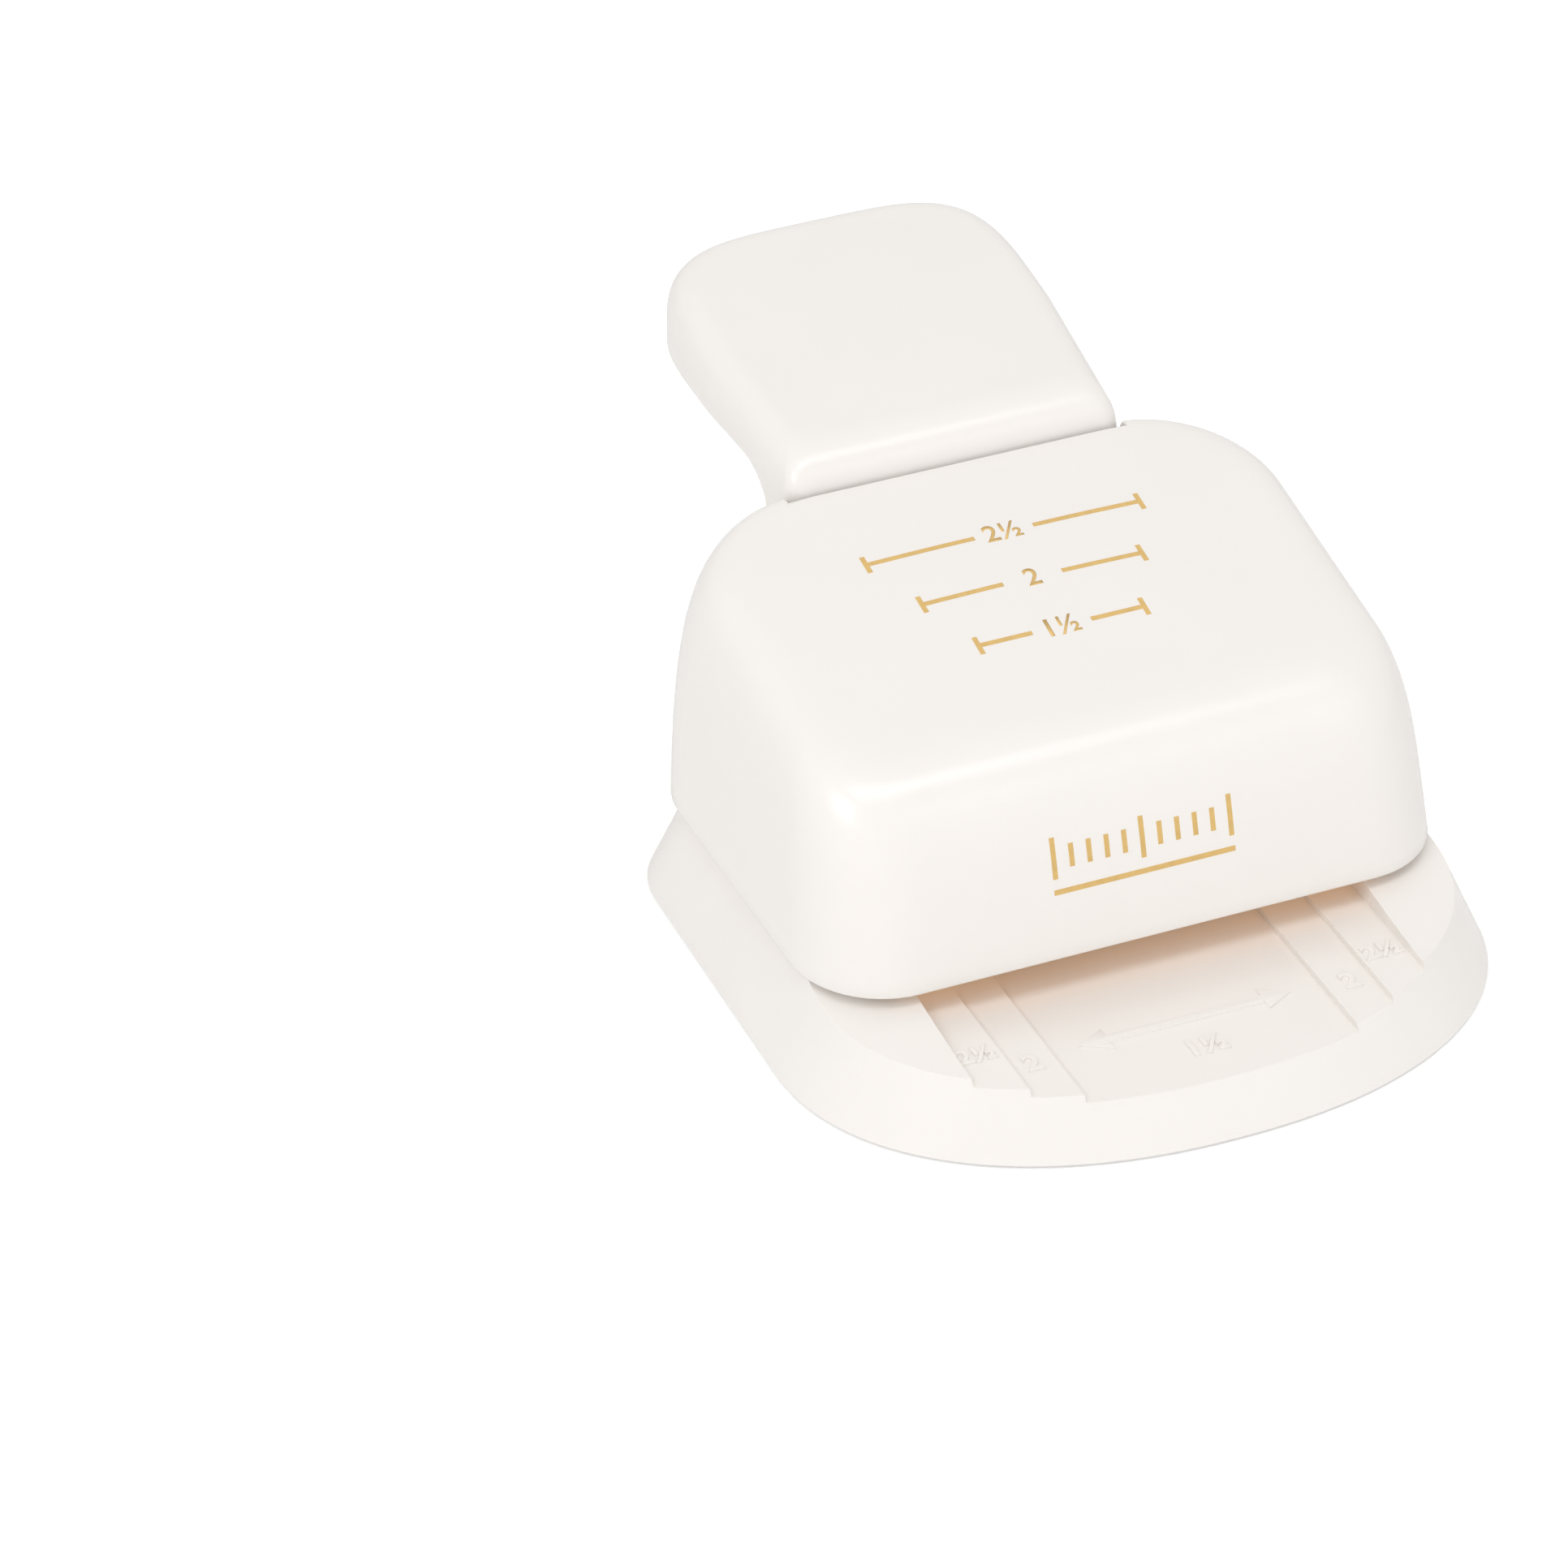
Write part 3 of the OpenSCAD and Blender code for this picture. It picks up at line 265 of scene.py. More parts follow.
def loose_middles(node):
    """XY middle of each separate solid of a node, in a fixed order."""
    bm = bmesh.new()
    bm.from_mesh(frame["nodes"][node].data)
    bmesh.ops.remove_doubles(bm, verts=bm.verts, dist=10 * JOIN)
    left = set(bm.verts)
    middles = []
    while left:
        stack = [left.pop()]
        island = []
        while stack:
            vert = stack.pop()
            island.append(vert.co.copy())
            for edge in vert.link_edges:
                other = edge.other_vert(vert)
                if other in left:
                    left.remove(other)
                    stack.append(other)
        xs = [p.x for p in island]
        ys = [p.y for p in island]
        middles.append(((min(xs) + max(xs)) / 2, (min(ys) + max(ys)) / 2))
    bm.free()
    return sorted(middles)


# Mesh helpers

# Sizes of the rings that close a top, as shares of its outline
CAP_SHARES = [0.95, 0.88, 0.78, 0.66, 0.52, 0.38, 0.24, 0.12]


class Skin:
    """Collects the points and faces of one mesh."""

    def __init__(self):
        """Starts with no points and no faces."""
        self.points = []
        self.faces = []
        self.count = 0

    def add(self, points):
        """Adds points and returns their indices."""
        points = np.asarray(points, float).reshape(-1, 3)
        self.points.append(points)
        start = self.count
        self.count += len(points)
        return np.arange(start, self.count)

    def bridge(self, first, second, gap=()):
        """Quads between two closed rows of indices, except at the places in the gap."""
        n = len(first)
        for i in range(n):
            if i not in gap:
                j = (i + 1) % n
                self.faces.append((first[i], first[j], second[j], second[i]))

    def cap(self, ring, points, middle, height, crown=0.0):
        """Closes a ring with smaller rings at height(xy), which rise by the crown towards the middle."""
        for part in CAP_SHARES:
            xy = middle + (points[:, :2] - middle) * part
            row = self.add(np.column_stack([xy, height(xy) + crown * (1 - part ** 2) ** 2]))
            self.bridge(ring, row)
            ring = row
        tip = self.add([[*middle, height(middle[None])[0] + crown]])[0]
        for i, point in enumerate(ring):
            self.faces.append((point, ring[(i + 1) % len(ring)], tip))

    def lip(self, outer, inner, directions, radius, steps=4):
        """Joins two rows of indices over a rounded edge that stands out along the given directions."""
        points = np.concatenate(self.points)
        a, b = points[outer], points[inner]
        across = (b - a) / np.linalg.norm(b - a, axis=1)[:, None]
        turns = np.linspace(0, math.pi / 2, steps + 1)[1:]
        bends = [(radius * math.sin(t), radius * (1 - math.cos(t))) for t in turns]
        places = [a + across * depth + directions * reach for reach, depth in bends]
        places += [b - across * depth + directions * reach for reach, depth in reversed(bends)]
        row = outer
        for place in places:
            new = self.add(place)
            self.bridge(row, new)
            row = new
        self.bridge(row, inner)

    def mesh(self, name):
        """The collected faces as a mesh whose normals point outwards."""
        mesh = bpy.data.meshes.new(name)
        mesh.from_pydata(np.concatenate(self.points).tolist(), [], [tuple(map(int, f)) for f in self.faces])
        clean(mesh)
        return mesh


def ring_middle(ring):
    """Middle of a ring that is the same on both sides of X = 0."""
    return np.array([0.0, (ring[:, 1].min() + ring[:, 1].max()) / 2])


def clean(mesh):
    """Joins double points and turns the normals outwards."""
    bm = bmesh.new()
    bm.from_mesh(mesh)
    bmesh.ops.remove_doubles(bm, verts=bm.verts, dist=JOIN)
    bmesh.ops.dissolve_degenerate(bm, edges=bm.edges, dist=JOIN)
    bmesh.ops.recalc_face_normals(bm, faces=bm.faces)
    bm.to_mesh(mesh)
    bm.free()


def new_object(name, data):
    """A new object at the origin of the scene."""
    obj = bpy.data.objects.new(name, data)
    bpy.context.scene.collection.objects.link(obj)
    return obj


def finish_mesh(name, mesh, smooth_angle=40):
    """Cleans a mesh, smooths it below an angle in degrees and makes its object."""
    clean(mesh)
    mesh.shade_smooth()
    mesh.set_sharp_from_angle(angle=math.radians(smooth_angle))
    return new_object(name, mesh)


def evaluated_mesh(obj):
    """The mesh of an object with its modifiers applied."""
    depsgraph = bpy.context.evaluated_depsgraph_get()
    return bpy.data.meshes.new_from_object(obj.evaluated_get(depsgraph))


def drop(obj):
    """Removes a scratch object and its data."""
    data = obj.data
    bpy.data.objects.remove(obj)
    if isinstance(data, bpy.types.Mesh):
        bpy.data.meshes.remove(data)
    else:
        bpy.data.curves.remove(data)


def moved(mesh, x, y, z=0.0):
    """The same mesh, moved."""
    mesh.transform(Matrix.Translation((x, y, z)))
    return mesh


def loft(low, high):
    """A closed solid between two rows of points."""
    n = len(low)
    faces = [tuple(range(n - 1, -1, -1)), tuple(range(n, 2 * n))]
    faces += [(i, (i + 1) % n, n + (i + 1) % n, n + i) for i in range(n)]
    mesh = bpy.data.meshes.new("solid")
    mesh.from_pydata(low + high, [], faces)
    return mesh


def prism(outline, z0, z1, top=None):
    """A closed upright solid from an outline of XY points, with another outline at its top if given."""
    return loft([(*p, z0) for p in outline], [(*p, z1) for p in (outline if top is None else top)])


def side_plate(outline, x0, x1):
    """A closed solid from an outline of YZ points along X."""
    return loft([(x0, y, z) for y, z in outline], [(x1, y, z) for y, z in outline])


def block(low, high):
    """A closed box from its low and high corners."""
    (x0, y0, z0), (x1, y1, z1) = low, high
    return prism([(x0, y0), (x1, y0), (x1, y1), (x0, y1)], z0, z1)


def disc(x, y, r, z0, z1, steps=48):
    """A closed upright cylinder."""
    angles = np.linspace(0, 2 * math.pi, steps, endpoint=False)
    return prism([(x + r * math.cos(a), y + r * math.sin(a)) for a in angles], z0, z1)


def combine(mesh, others, operation):
    """Boolean of a mesh with several others. Returns a new mesh."""
    body = new_object(mesh.name, mesh)
    tools = [new_object(other.name, other) for other in others]
    for tool in tools:
        modifier = body.modifiers.new("combine", "BOOLEAN")
        modifier.operation = operation
        modifier.solver = "EXACT"
        modifier.object = tool
    result = evaluated_mesh(body)
    for obj in [body, *tools]:
        drop(obj)
    return result


def round_edges(mesh, chosen, radius, segments=3):
    """Rounds the edges of a mesh for which chosen(middle, edge) is true."""
    flat = math.radians(0.3)
    bm = bmesh.new()
    bm.from_mesh(mesh)
    bmesh.ops.remove_doubles(bm, verts=bm.verts, dist=20 * JOIN)
    bmesh.ops.dissolve_limit(bm, angle_limit=flat, verts=bm.verts, edges=bm.edges)
    joined = [e for e in bm.edges if len(e.link_faces) == 2]
    edges = [e for e in joined if chosen((e.verts[0].co + e.verts[1].co) / 2, e)]
    bmesh.ops.bevel(bm, geom=edges, offset=radius, offset_type="OFFSET", segments=segments, profile=0.5,
                    affect="EDGES", clamp_overlap=True)
    bm.to_mesh(mesh)
    bm.free()


# Nodes

def add_node(tree, kind, inputs=None, **settings):
    """A new node with its settings. Each input takes a value, or a socket that is linked to it."""
    node = tree.nodes.new(kind)
    for name, value in settings.items():
        setattr(node, name, value)
    for key, value in (inputs or {}).items():
        if isinstance(value, bpy.types.NodeSocket):
            tree.links.new(value, node.inputs[key])
        else:
            node.inputs[key].default_value = value
    return node


def new_tree(name, inputs):
    """An empty tree with named inputs and one geometry output, and the sockets of its inputs."""
    tree = bpy.data.node_groups.new(name, "GeometryNodeTree")
    for label, kind in inputs.items():
        tree.interface.new_socket(label, in_out="INPUT", socket_type="NodeSocket" + kind)
    tree.interface.new_socket("Geometry", in_out="OUTPUT", socket_type="NodeSocketGeometry")
    return tree, tree.nodes.new("NodeGroupInput").outputs


def close_tree(tree, geometry, material_socket):
    """Realizes the instances, sets the material and links the result to the output."""
    real = add_node(tree, "GeometryNodeRealizeInstances", {"Geometry": geometry})
    paint = add_node(tree, "GeometryNodeSetMaterial", {
        "Geometry": real.outputs["Geometry"], "Material": material_socket})
    add_node(tree, "NodeGroupOutput", {"Geometry": paint.outputs["Geometry"]})
    return tree


def run_tree(tree, values):
    """The plain mesh that a tree makes from values named like its inputs."""
    obj = new_object(tree.name, bpy.data.meshes.new(tree.name))
    modifier = obj.modifiers.new(tree.name, "NODES")
    modifier.node_group = tree
    for item in tree.interface.items_tree:
        if item.in_out == "INPUT":
            modifier[item.identifier] = values[item.name]
    mesh = evaluated_mesh(obj)
    drop(obj)
    return mesh


def spring_tree():
    """A round wire along a spiral that rises from the origin."""
    tree, given = new_tree("coil_spring", {
        "Radius": "Float", "Height": "Float", "Turns": "Float", "Wire radius": "Float",
        "Material": "Material"})
    spiral = add_node(tree, "GeometryNodeCurveSpiral", {
        "Resolution": 40, "Rotations": given["Turns"], "Start Radius": given["Radius"],
        "End Radius": given["Radius"], "Height": given["Height"]})
    ring = add_node(tree, "GeometryNodeCurvePrimitiveCircle", {
        "Resolution": 14, "Radius": given["Wire radius"]})
    sweep = add_node(tree, "GeometryNodeCurveToMesh", {
        "Curve": spiral.outputs["Curve"], "Profile Curve": ring.outputs["Curve"], "Fill Caps": True})
    return close_tree(tree, sweep.outputs["Mesh"], given["Material"])


def tick_tree():
    """A row of flat bars along X, every fifth one longer."""
    tree, given = new_tree("tick_row", {
        "Count": "Int", "Gap": "Float", "Width": "Float", "Height": "Float", "Long": "Float",
        "Material": "Material"})
    offset = add_node(tree, "ShaderNodeCombineXYZ", {"X": given["Gap"]})
    row = add_node(tree, "GeometryNodeMeshLine", {
        "Count": given["Count"], "Offset": offset.outputs["Vector"]})
    bar = add_node(tree, "GeometryNodeMeshGrid", {
        "Size X": given["Width"], "Size Y": given["Height"], "Vertices X": 2, "Vertices Y": 6})
    index = add_node(tree, "GeometryNodeInputIndex")
    fifth = add_node(tree, "ShaderNodeMath", {0: index.outputs["Index"], 1: 5}, operation="MODULO")
    first = add_node(tree, "FunctionNodeCompare", {
        "A": fifth.outputs["Value"], "B": 0.5}, operation="LESS_THAN")
    choice = add_node(tree, "GeometryNodeSwitch", {
        "Switch": first.outputs["Result"], "False": 1.0, "True": given["Long"]}, input_type="FLOAT")
    stretch = add_node(tree, "ShaderNodeCombineXYZ", {"X": 1.0, "Y": choice.outputs["Output"], "Z": 1.0})
    place = add_node(tree, "GeometryNodeInstanceOnPoints", {
        "Points": row.outputs["Mesh"], "Instance": bar.outputs["Mesh"], "Scale": stretch.outputs["Vector"]})
    return close_tree(tree, place.outputs["Instances"], given["Material"])


# Outlines

def signed_power(values, power):
    """Powers of the plain amounts, with the signs of the values."""
    return np.sign(values) * np.abs(values) ** power


def super_arc(half_w, y, depth, power, start, end, steps):
    """Points of a superellipse between two angles in degrees."""
    a = np.radians(np.linspace(start, end, steps + 1))
    return np.column_stack([half_w * signed_power(np.cos(a), 2 / power),
                            y + depth * signed_power(np.sin(a), 2 / power)])


def round_arc(x, y, r, start, end, steps):
    """Points of a circle between two angles in degrees."""
    a = np.radians(np.linspace(start, end, steps + 1))
    return np.column_stack([x + r * np.cos(a), y + r * np.sin(a)])


def even(points, count):
    """The same open line with evenly spaced points."""
    gaps = np.linalg.norm(np.diff(points, axis=0), axis=1)
    run = np.concatenate([[0], np.cumsum(gaps)])
    places = np.linspace(0, run[-1], count)
    return np.column_stack([np.interp(places, run, points[:, i]) for i in range(points.shape[1])])


def rounding(k, power):
    """Share of a rounded edge's reach at height share k."""
    return 1 - (1 - np.asarray(k) ** power) ** (1 / power)


def edge_levels(start, power, steps):
    """Height shares up a rounded edge, closer together where it bends."""
    first = math.asin(start ** (power / 2))
    return np.sin(np.linspace(first, math.pi / 2, steps + 1)) ** (2 / power)


# Base

# Gap between the die and the base
FIT_GAP = 0.2 * MM
# The shoulders rise with this power of the depth, and end just over the seam
SHOULDER_POWER = 1.5
SHOULDER_PAST = 0.02 * MM
# Pocket for the cutting stack: its wall, its room beside and before the die, and its place from the rear
POCKET_WALL = 2 * MM
POCKET_SIDE = 0.5 * MM
POCKET_FRONT = 1 * MM
POCKET_REAR = 3.5 * MM
# Bosses and bores for the feet and the screws
FOOT_BOSS_R = 6 * MM
FOOT_R = 4 * MM
BASE_BOSS_R = 4 * MM
SCREW_BORE_R = 1.7 * MM
SCREW_HEAD_R = 3.2 * MM
SCREW_HEAD_H = 1.6 * MM
# Window for the cut chips: its room beside the paper stop, and its place behind the die's front
CHIP_SIDE = 0.3 * MM
CHIP_FRONT = 5 * MM
# Edges sharper than this are rounded, before a line in front of the die and at the foot
SHARP_ANGLE = math.radians(25)
SHARP_FRONT = 2 * MM
FOOT_H = 0.1 * MM


def base_outline(sizes, share, wall=0.0):
    """Outline of the base at a share of its height, moved in by a wall."""
    low, high = corners("base_shell")
    hw = high[0] + sizes.spread - (sizes.side_lean * share + wall)
    y1 = high[1] - (sizes.rear_lean * share + wall)
    bow = sizes.bow - (sizes.front_lean * share + wall)
    r = sizes.corner_r
    front = super_arc(hw, low[1] + sizes.bow, bow, sizes.front_power, 180, 360, steps=400)
    return np.concatenate([
        round_arc(hw - sizes.taper - r, y1 - r, r, 0, 90, steps=20),
        round_arc(r + sizes.taper - hw, y1 - r, r, 90, 180, steps=20),
        even(front, count=141)])


def base_cutters(sizes):
    """Solids that are cut from the base: table, channels, stack pocket and underside."""
    low, high = corners("base_shell")
    die_low, die_high = corners("die_plate")
    plateau = sizes.floor_z + len(STRIPS) * sizes.step_h
    climb = np.linspace(0, 1, 13)
    shoulder_y = low[1] + sizes.shoulder_in + sizes.shoulder_d * climb
    shoulder_z = plateau + (high[2] - plateau) * climb ** SHOULDER_POWER
    shoulder_z[-1] += SHOULDER_PAST
    front = low[1] - FAR
    table = [(front, plateau), *zip(shoulder_y, shoulder_z), (shoulder_y[-1], FAR), (front, FAR)]
    cutters = [side_plate(table, -FAR, FAR)]
    for i, width in enumerate(STRIPS.values()):
        hw = width / 2 + sizes.strip_play
        floor = sizes.floor_z + i * sizes.step_h
        cutters.append(block((-hw, front, floor), (hw, die_low[1] + FIT_GAP, FAR)))
    pocket = prism(base_outline(sizes, 1, POCKET_WALL), plateau, FAR)
    pocket_hw = die_high[0] + POCKET_SIDE
    pocket_rear = corners("head_cover")[1][1] - POCKET_REAR
    room = block((-pocket_hw, die_low[1] - POCKET_FRONT, low[2]), (pocket_hw, pocket_rear, FAR))
    cutters.append(combine(pocket, [room], "INTERSECT"))
    cutters.append(block((-die_high[0] - FIT_GAP, die_low[1] - FIT_GAP, die_low[2]),
                         (die_high[0] + FIT_GAP, die_high[1] + FIT_GAP, FAR)))
    hollow = prism(base_outline(sizes, 0.5, sizes.wall), low[2] - PAST, sizes.floor_z - sizes.deck_t)
    keep = [block((-FAR, die_low[1] - sizes.wall, die_low[2] - sizes.frame_t),
                  (FAR, die_high[1] + sizes.wall, FAR))]
    keep += [disc(x, y, FOOT_BOSS_R, -FAR, FAR) for x, y in loose_middles("rubber_feet")]
    cutters.append(combine(hollow, keep, "DIFFERENCE"))
    return cutters


def base_holes():
    """Bores of the base: screws, feet and the chip window."""
    below = corners("base_shell")[0][2] - PAST
    head_seat = corners("cover_screws")[0][2] + SCREW_HEAD_H
    foot_top = corners("rubber_feet")[1][2]
    holes = []
    for x, y in loose_middles("cover_screws"):
        holes.append(disc(x, y, SCREW_BORE_R, below, FAR))
        holes.append(disc(x, y, SCREW_HEAD_R, below, head_seat))
    for x, y in loose_middles("stack_screws"):
        holes.append(disc(x, y, SCREW_BORE_R, below, FAR))
    for x, y in loose_middles("rubber_feet"):
        holes.append(disc(x, y, FOOT_R, below, foot_top))
    stop_low, stop_high = corners("paper_stop")
    chip_hw = stop_high[0] + CHIP_SIDE
    chip_y = corners("die_plate")[0][1] + CHIP_FRONT
    holes.append(block((-chip_hw, chip_y, below), (chip_hw, stop_low[1] + PAST, FAR)))
    return holes


def build_base(sizes):
    """The moulded base with its stepped table and its open underside."""
    low, high = corners("base_shell")
    rounded_y = corners("die_plate")[0][1] - SHARP_FRONT
    outer = prism(base_outline(sizes, 0), low[2], high[2], base_outline(sizes, 1))
    body = combine(outer, base_cutters(sizes), "DIFFERENCE")
    boss_z = corners("cover_screws")[0][2]
    bosses = [disc(x, y, BASE_BOSS_R, boss_z, high[2]) for x, y in loose_middles("cover_screws")]
    body = combine(body, bosses, "UNION")
    body = combine(body, base_holes(), "DIFFERENCE")

    def outside(middle, edge):
        """True for a sharp edge of the table or of the foot."""
        foot = abs(middle.z - low[2]) < FOOT_H
        return edge.calc_face_angle(0) > SHARP_ANGLE and (middle.y < rounded_y or foot)

    round_edges(body, outside, sizes.edge_r)
    return finish_shell("base_body", body)


def finish_shell(name, mesh):
    """An object with weighted normals, so that flat faces stay flat beside rounded edges."""
    obj = finish_mesh(name, mesh, smooth_angle=35)
    modifier = obj.modifiers.new("weighted", "WEIGHTED_NORMAL")
    modifier.keep_sharp = True
    weighted = evaluated_mesh(obj)
    obj.modifiers.remove(modifier)
    old = obj.data
    obj.data = weighted
    bpy.data.meshes.remove(old)
    return obj


# Head

# Columns of points across the rear opening, and the room beside them
OPENING_COLUMNS = 29
OPENING_SIDE = 1.5 * MM
# Shares of the head's height: one more row in the sides, and the start of the rounded top edge
ROW_SHARE = 0.14
EDGE_START = 0.2
# The roof of the opening lies above this share
ROOF_SHARE = 0.9
# Screw bosses and their bores
HEAD_BOSS_R = 3.6 * MM
HEAD_BOSS_H = 12 * MM
HEAD_BORE_R = 1.55 * MM
HEAD_BORE_H = 10 * MM


def rounded_loop(hw, y0, y1, r, rear_r, columns, side_steps=16, corner_steps=14):
    """A rounded box as a closed loop from its rear right, with fixed columns in its rear and front."""
    bend = hw - rear_r
    first = max(columns[0] + OPENING_SIDE, bend)
    turn = math.degrees(math.acos((first - bend) / rear_r))
    rear = np.concatenate([[first], columns, [-first]])
    rear_y = y1 - rear_r + np.sqrt(rear_r ** 2 - np.clip(np.abs(rear) - bend, 0, rear_r) ** 2)
    front = np.linspace(r - hw, hw - r, len(rear))
    side = np.linspace(y1 - rear_r, y0 + r, side_steps + 1)

    def corner(x, y, radius, start, end):
        """Points of a rounded corner without its two ends."""
        return round_arc(x, y, radius, start, end, corner_steps)[1:-1]

    return np.concatenate([
        np.column_stack([rear, rear_y]), corner(-bend, y1 - rear_r, rear_r, 180 - turn, 180),
        np.column_stack([np.full_like(side, -hw), side]), corner(r - hw, y0 + r, r, 180, 270),
        np.column_stack([front, np.full_like(front, y0)]), corner(hw - r, y0 + r, r, 270, 360),
        np.column_stack([np.full_like(side, hw), side[::-1]]), corner(bend, y1 - rear_r, rear_r, 0, turn)])


def head_loop(sizes, k, wall, columns):
    """Points of the head's outer or inner face at height share k."""
    low, high = corners("head_cover")
    f = float(rounding(k, sizes.edge_power))
    side_in = sizes.side_lean * k + sizes.side_round * f
    corner_r = sizes.corner_r - side_in * sizes.corner_share - wall
    xy = rounded_loop(
        high[0] - side_in - wall,
        low[1] + sizes.front_lean * k + sizes.front_round * f + wall,
        high[1] - sizes.rear_lean * k - sizes.rear_round * f - wall,
        corner_r, corner_r + sizes.rear_grow * k ** 2, columns)
    z0 = head_bottom(sizes)
    return np.column_stack([xy, z0 + (head_top(sizes, xy) - wall - z0) * k])


def head_bottom(sizes):
    """Height of the head's lower edge."""
    return corners("base_shell")[1][2] + sizes.seam


def head_top(sizes, xy):
    """Height of the sloping top, without its crown."""
    return sizes.top_z + (xy[:, 1] - corners("head_cover")[0][1]) * sizes.top_rise


def head_opening_levels(sizes):
    """Height shares of the lower and upper rim of the rear opening."""
    low, high = corners("head_cover")
    rear_top = sizes.top_z + (high[1] - low[1]) * sizes.top_rise
    sill = (sizes.opening_sill - sizes.lip_r) / (rear_top - head_bottom(sizes))
    levels = np.linspace(ROOF_SHARE, 1, 2001)
    inset = sizes.rear_lean * levels + sizes.rear_round * rounding(levels, sizes.edge_power)
    return sill, float(np.interp(sizes.opening_gap, inset, levels))


def build_head(sizes):
    """The hollow head with a rounded top edge, a rear opening and its screw bosses."""
    columns = np.linspace(sizes.opening_hw, -sizes.opening_hw, OPENING_COLUMNS)
    sill, roof = head_opening_levels(sizes)
    z0 = head_bottom(sizes)
    lowest = sizes.lip_r / (sizes.top_z - z0)
    edge = edge_levels(EDGE_START, sizes.edge_power, steps=34)
    levels = np.unique([lowest, sill, ROW_SHARE, roof, *edge])
    first, last = (int(np.argmin(abs(levels - k))) for k in (sill, roof))
    left, right = 1, len(columns)
    skin = Skin()
    points, rows = {}, {}
    for wall, crown in ((0.0, sizes.crown), (sizes.wall, 0.0)):
        points[wall] = [head_loop(sizes, k, wall, columns) for k in levels]
        rows[wall] = [skin.add(p) for p in points[wall]]
        for j, (a, b) in enumerate(zip(rows[wall], rows[wall][1:])):
            skin.bridge(a, b, range(left, right) if first <= j < last else ())
        ring = points[wall][-1]
        skin.cap(rows[wall][-1], ring, ring_middle(ring), lambda xy: head_top(sizes, xy) - wall, crown)
    outer, inner = rows[0.0], rows[sizes.wall]
    skin.lip(outer[0], inner[0], np.tile(-UP, (len(outer[0]), 1)), sizes.lip_r)
    border = [(first, i) for i in range(left, right + 1)]
    border += [(j, right) for j in range(first + 1, last + 1)]
    border += [(last, i) for i in range(right - 1, left - 1, -1)]
    border += [(j, left) for j in range(last - 1, first, -1)]
    rim_y = corners("lever_handle")[0][1] - sizes.rim_gap
    directions = []
    for j, i in border:
        way = UP * (j == first) + RIGHT * ((i == right) - (i == left))
        if j == last:
            roof_point = points[0.0][last][i]
            along = roof_point - points[0.0][last - 1][i]
            way = way + along * (rim_y - roof_point[1]) / along[1] / sizes.lip_r
        directions.append(way)
    skin.lip(np.array([outer[j][i] for j, i in border]), np.array([inner[j][i] for j, i in border]),
             np.array(directions), sizes.lip_r)
    places = loose_middles("cover_screws")
    bosses = [disc(x, y, HEAD_BOSS_R, z0 - sizes.seam, z0 + HEAD_BOSS_H) for x, y in places]
    bores = [disc(x, y, HEAD_BORE_R, z0 - PAST, z0 + HEAD_BORE_H) for x, y in places]
    mesh = combine(combine(skin.mesh("head_shell"), bosses, "UNION"), bores, "DIFFERENCE")
    return finish_mesh("head_shell", mesh)


# Lever

# Run of the step between the fillet and the neck's lower edge, and the neck's first row
NECK_STEP = 0.25 * MM
NECK_ROW = 1 * MM
# A point this close to the front face lies in it
IN_FACE = 0.01 * MM
# Height share at which the rounded top edge starts to have closer rows
BEND_START = 0.35


def lever_loop(sizes, inset, front_in, corner_r):
    """Outline of the lever from its right side round the rear to the front, moved in all round."""
    low, high = corners("lever_handle")
    front = low[1]
    hw0 = sizes.front_hw - inset
    hw1 = high[0] + sizes.spread - inset
    bend_y = high[1] - sizes.round_d
    arc = super_arc(hw1, bend_y, sizes.round_d - inset, sizes.round_power, 0, 180, steps=600)
    neck = front + sizes.neck_d
    fillet = sizes.neck_fillet
    turn = np.cos(np.linspace(0, math.pi / 2, 9))
    corner_y = front + front_in + corner_r
    lowest_y = front + sizes.corner_r
    side_y = np.concatenate([
        np.linspace(bend_y, neck + fillet, 5)[1:-1], neck + fillet * turn,
        [neck - NECK_STEP], np.linspace(neck - NECK_ROW, lowest_y, 8)])
    side_y = bend_y + (side_y - bend_y) * (corner_y - bend_y) / (lowest_y - bend_y)
    side_x = hw0 + (hw1 - hw0) * (side_y - corner_y) / (bend_y - corner_y)
    straight = hw0 - corner_r
    face_x = np.linspace(-straight, straight, 21)
    first_corner = round_arc(-straight, corner_y, corner_r, 180, 270, steps=10)[1:-1]
    second_corner = round_arc(straight, corner_y, corner_r, 270, 360, steps=10)[1:-1]
    return np.concatenate([
        even(arc, count=81), np.column_stack([-side_x, side_y]), first_corner,
        np.column_stack([face_x, np.full_like(face_x, front + front_in)]), second_corner,
        np.column_stack([side_x[::-1], side_y[::-1]])])


def lever_top(sizes, y):
    """Height of the sloping top, without its crown."""
    return sizes.top_z + (y - corners("lever_handle")[0][1]) * sizes.top_rise


def lever_skirt(sizes, y):
    """Height of the skirt's lower edge."""
    return sizes.skirt_z + (y - corners("lever_handle")[0][1]) * sizes.skirt_rise


def lever_lower_edge(sizes, xy):
    """Height of the lower edge: the skirt, a fillet, the neck, and the opening in its front."""
    low = corners("lever_handle")[0]
    x, y = np.abs(xy[:, 0]), xy[:, 1]
    neck = low[1] + sizes.neck_d
    fillet = sizes.neck_fillet
    back = np.clip(neck + fillet - y, 0, fillet)
    bend = lever_skirt(sizes, y) - fillet + np.sqrt(fillet ** 2 - back ** 2)
    edge = np.where(y < neck - NECK_STEP / 2, low[2], bend)
    in_front = (y < low[1] + IN_FACE) & (x < sizes.front_hw - sizes.corner_r + IN_FACE)
    return np.where(in_front, sizes.window_z, edge)


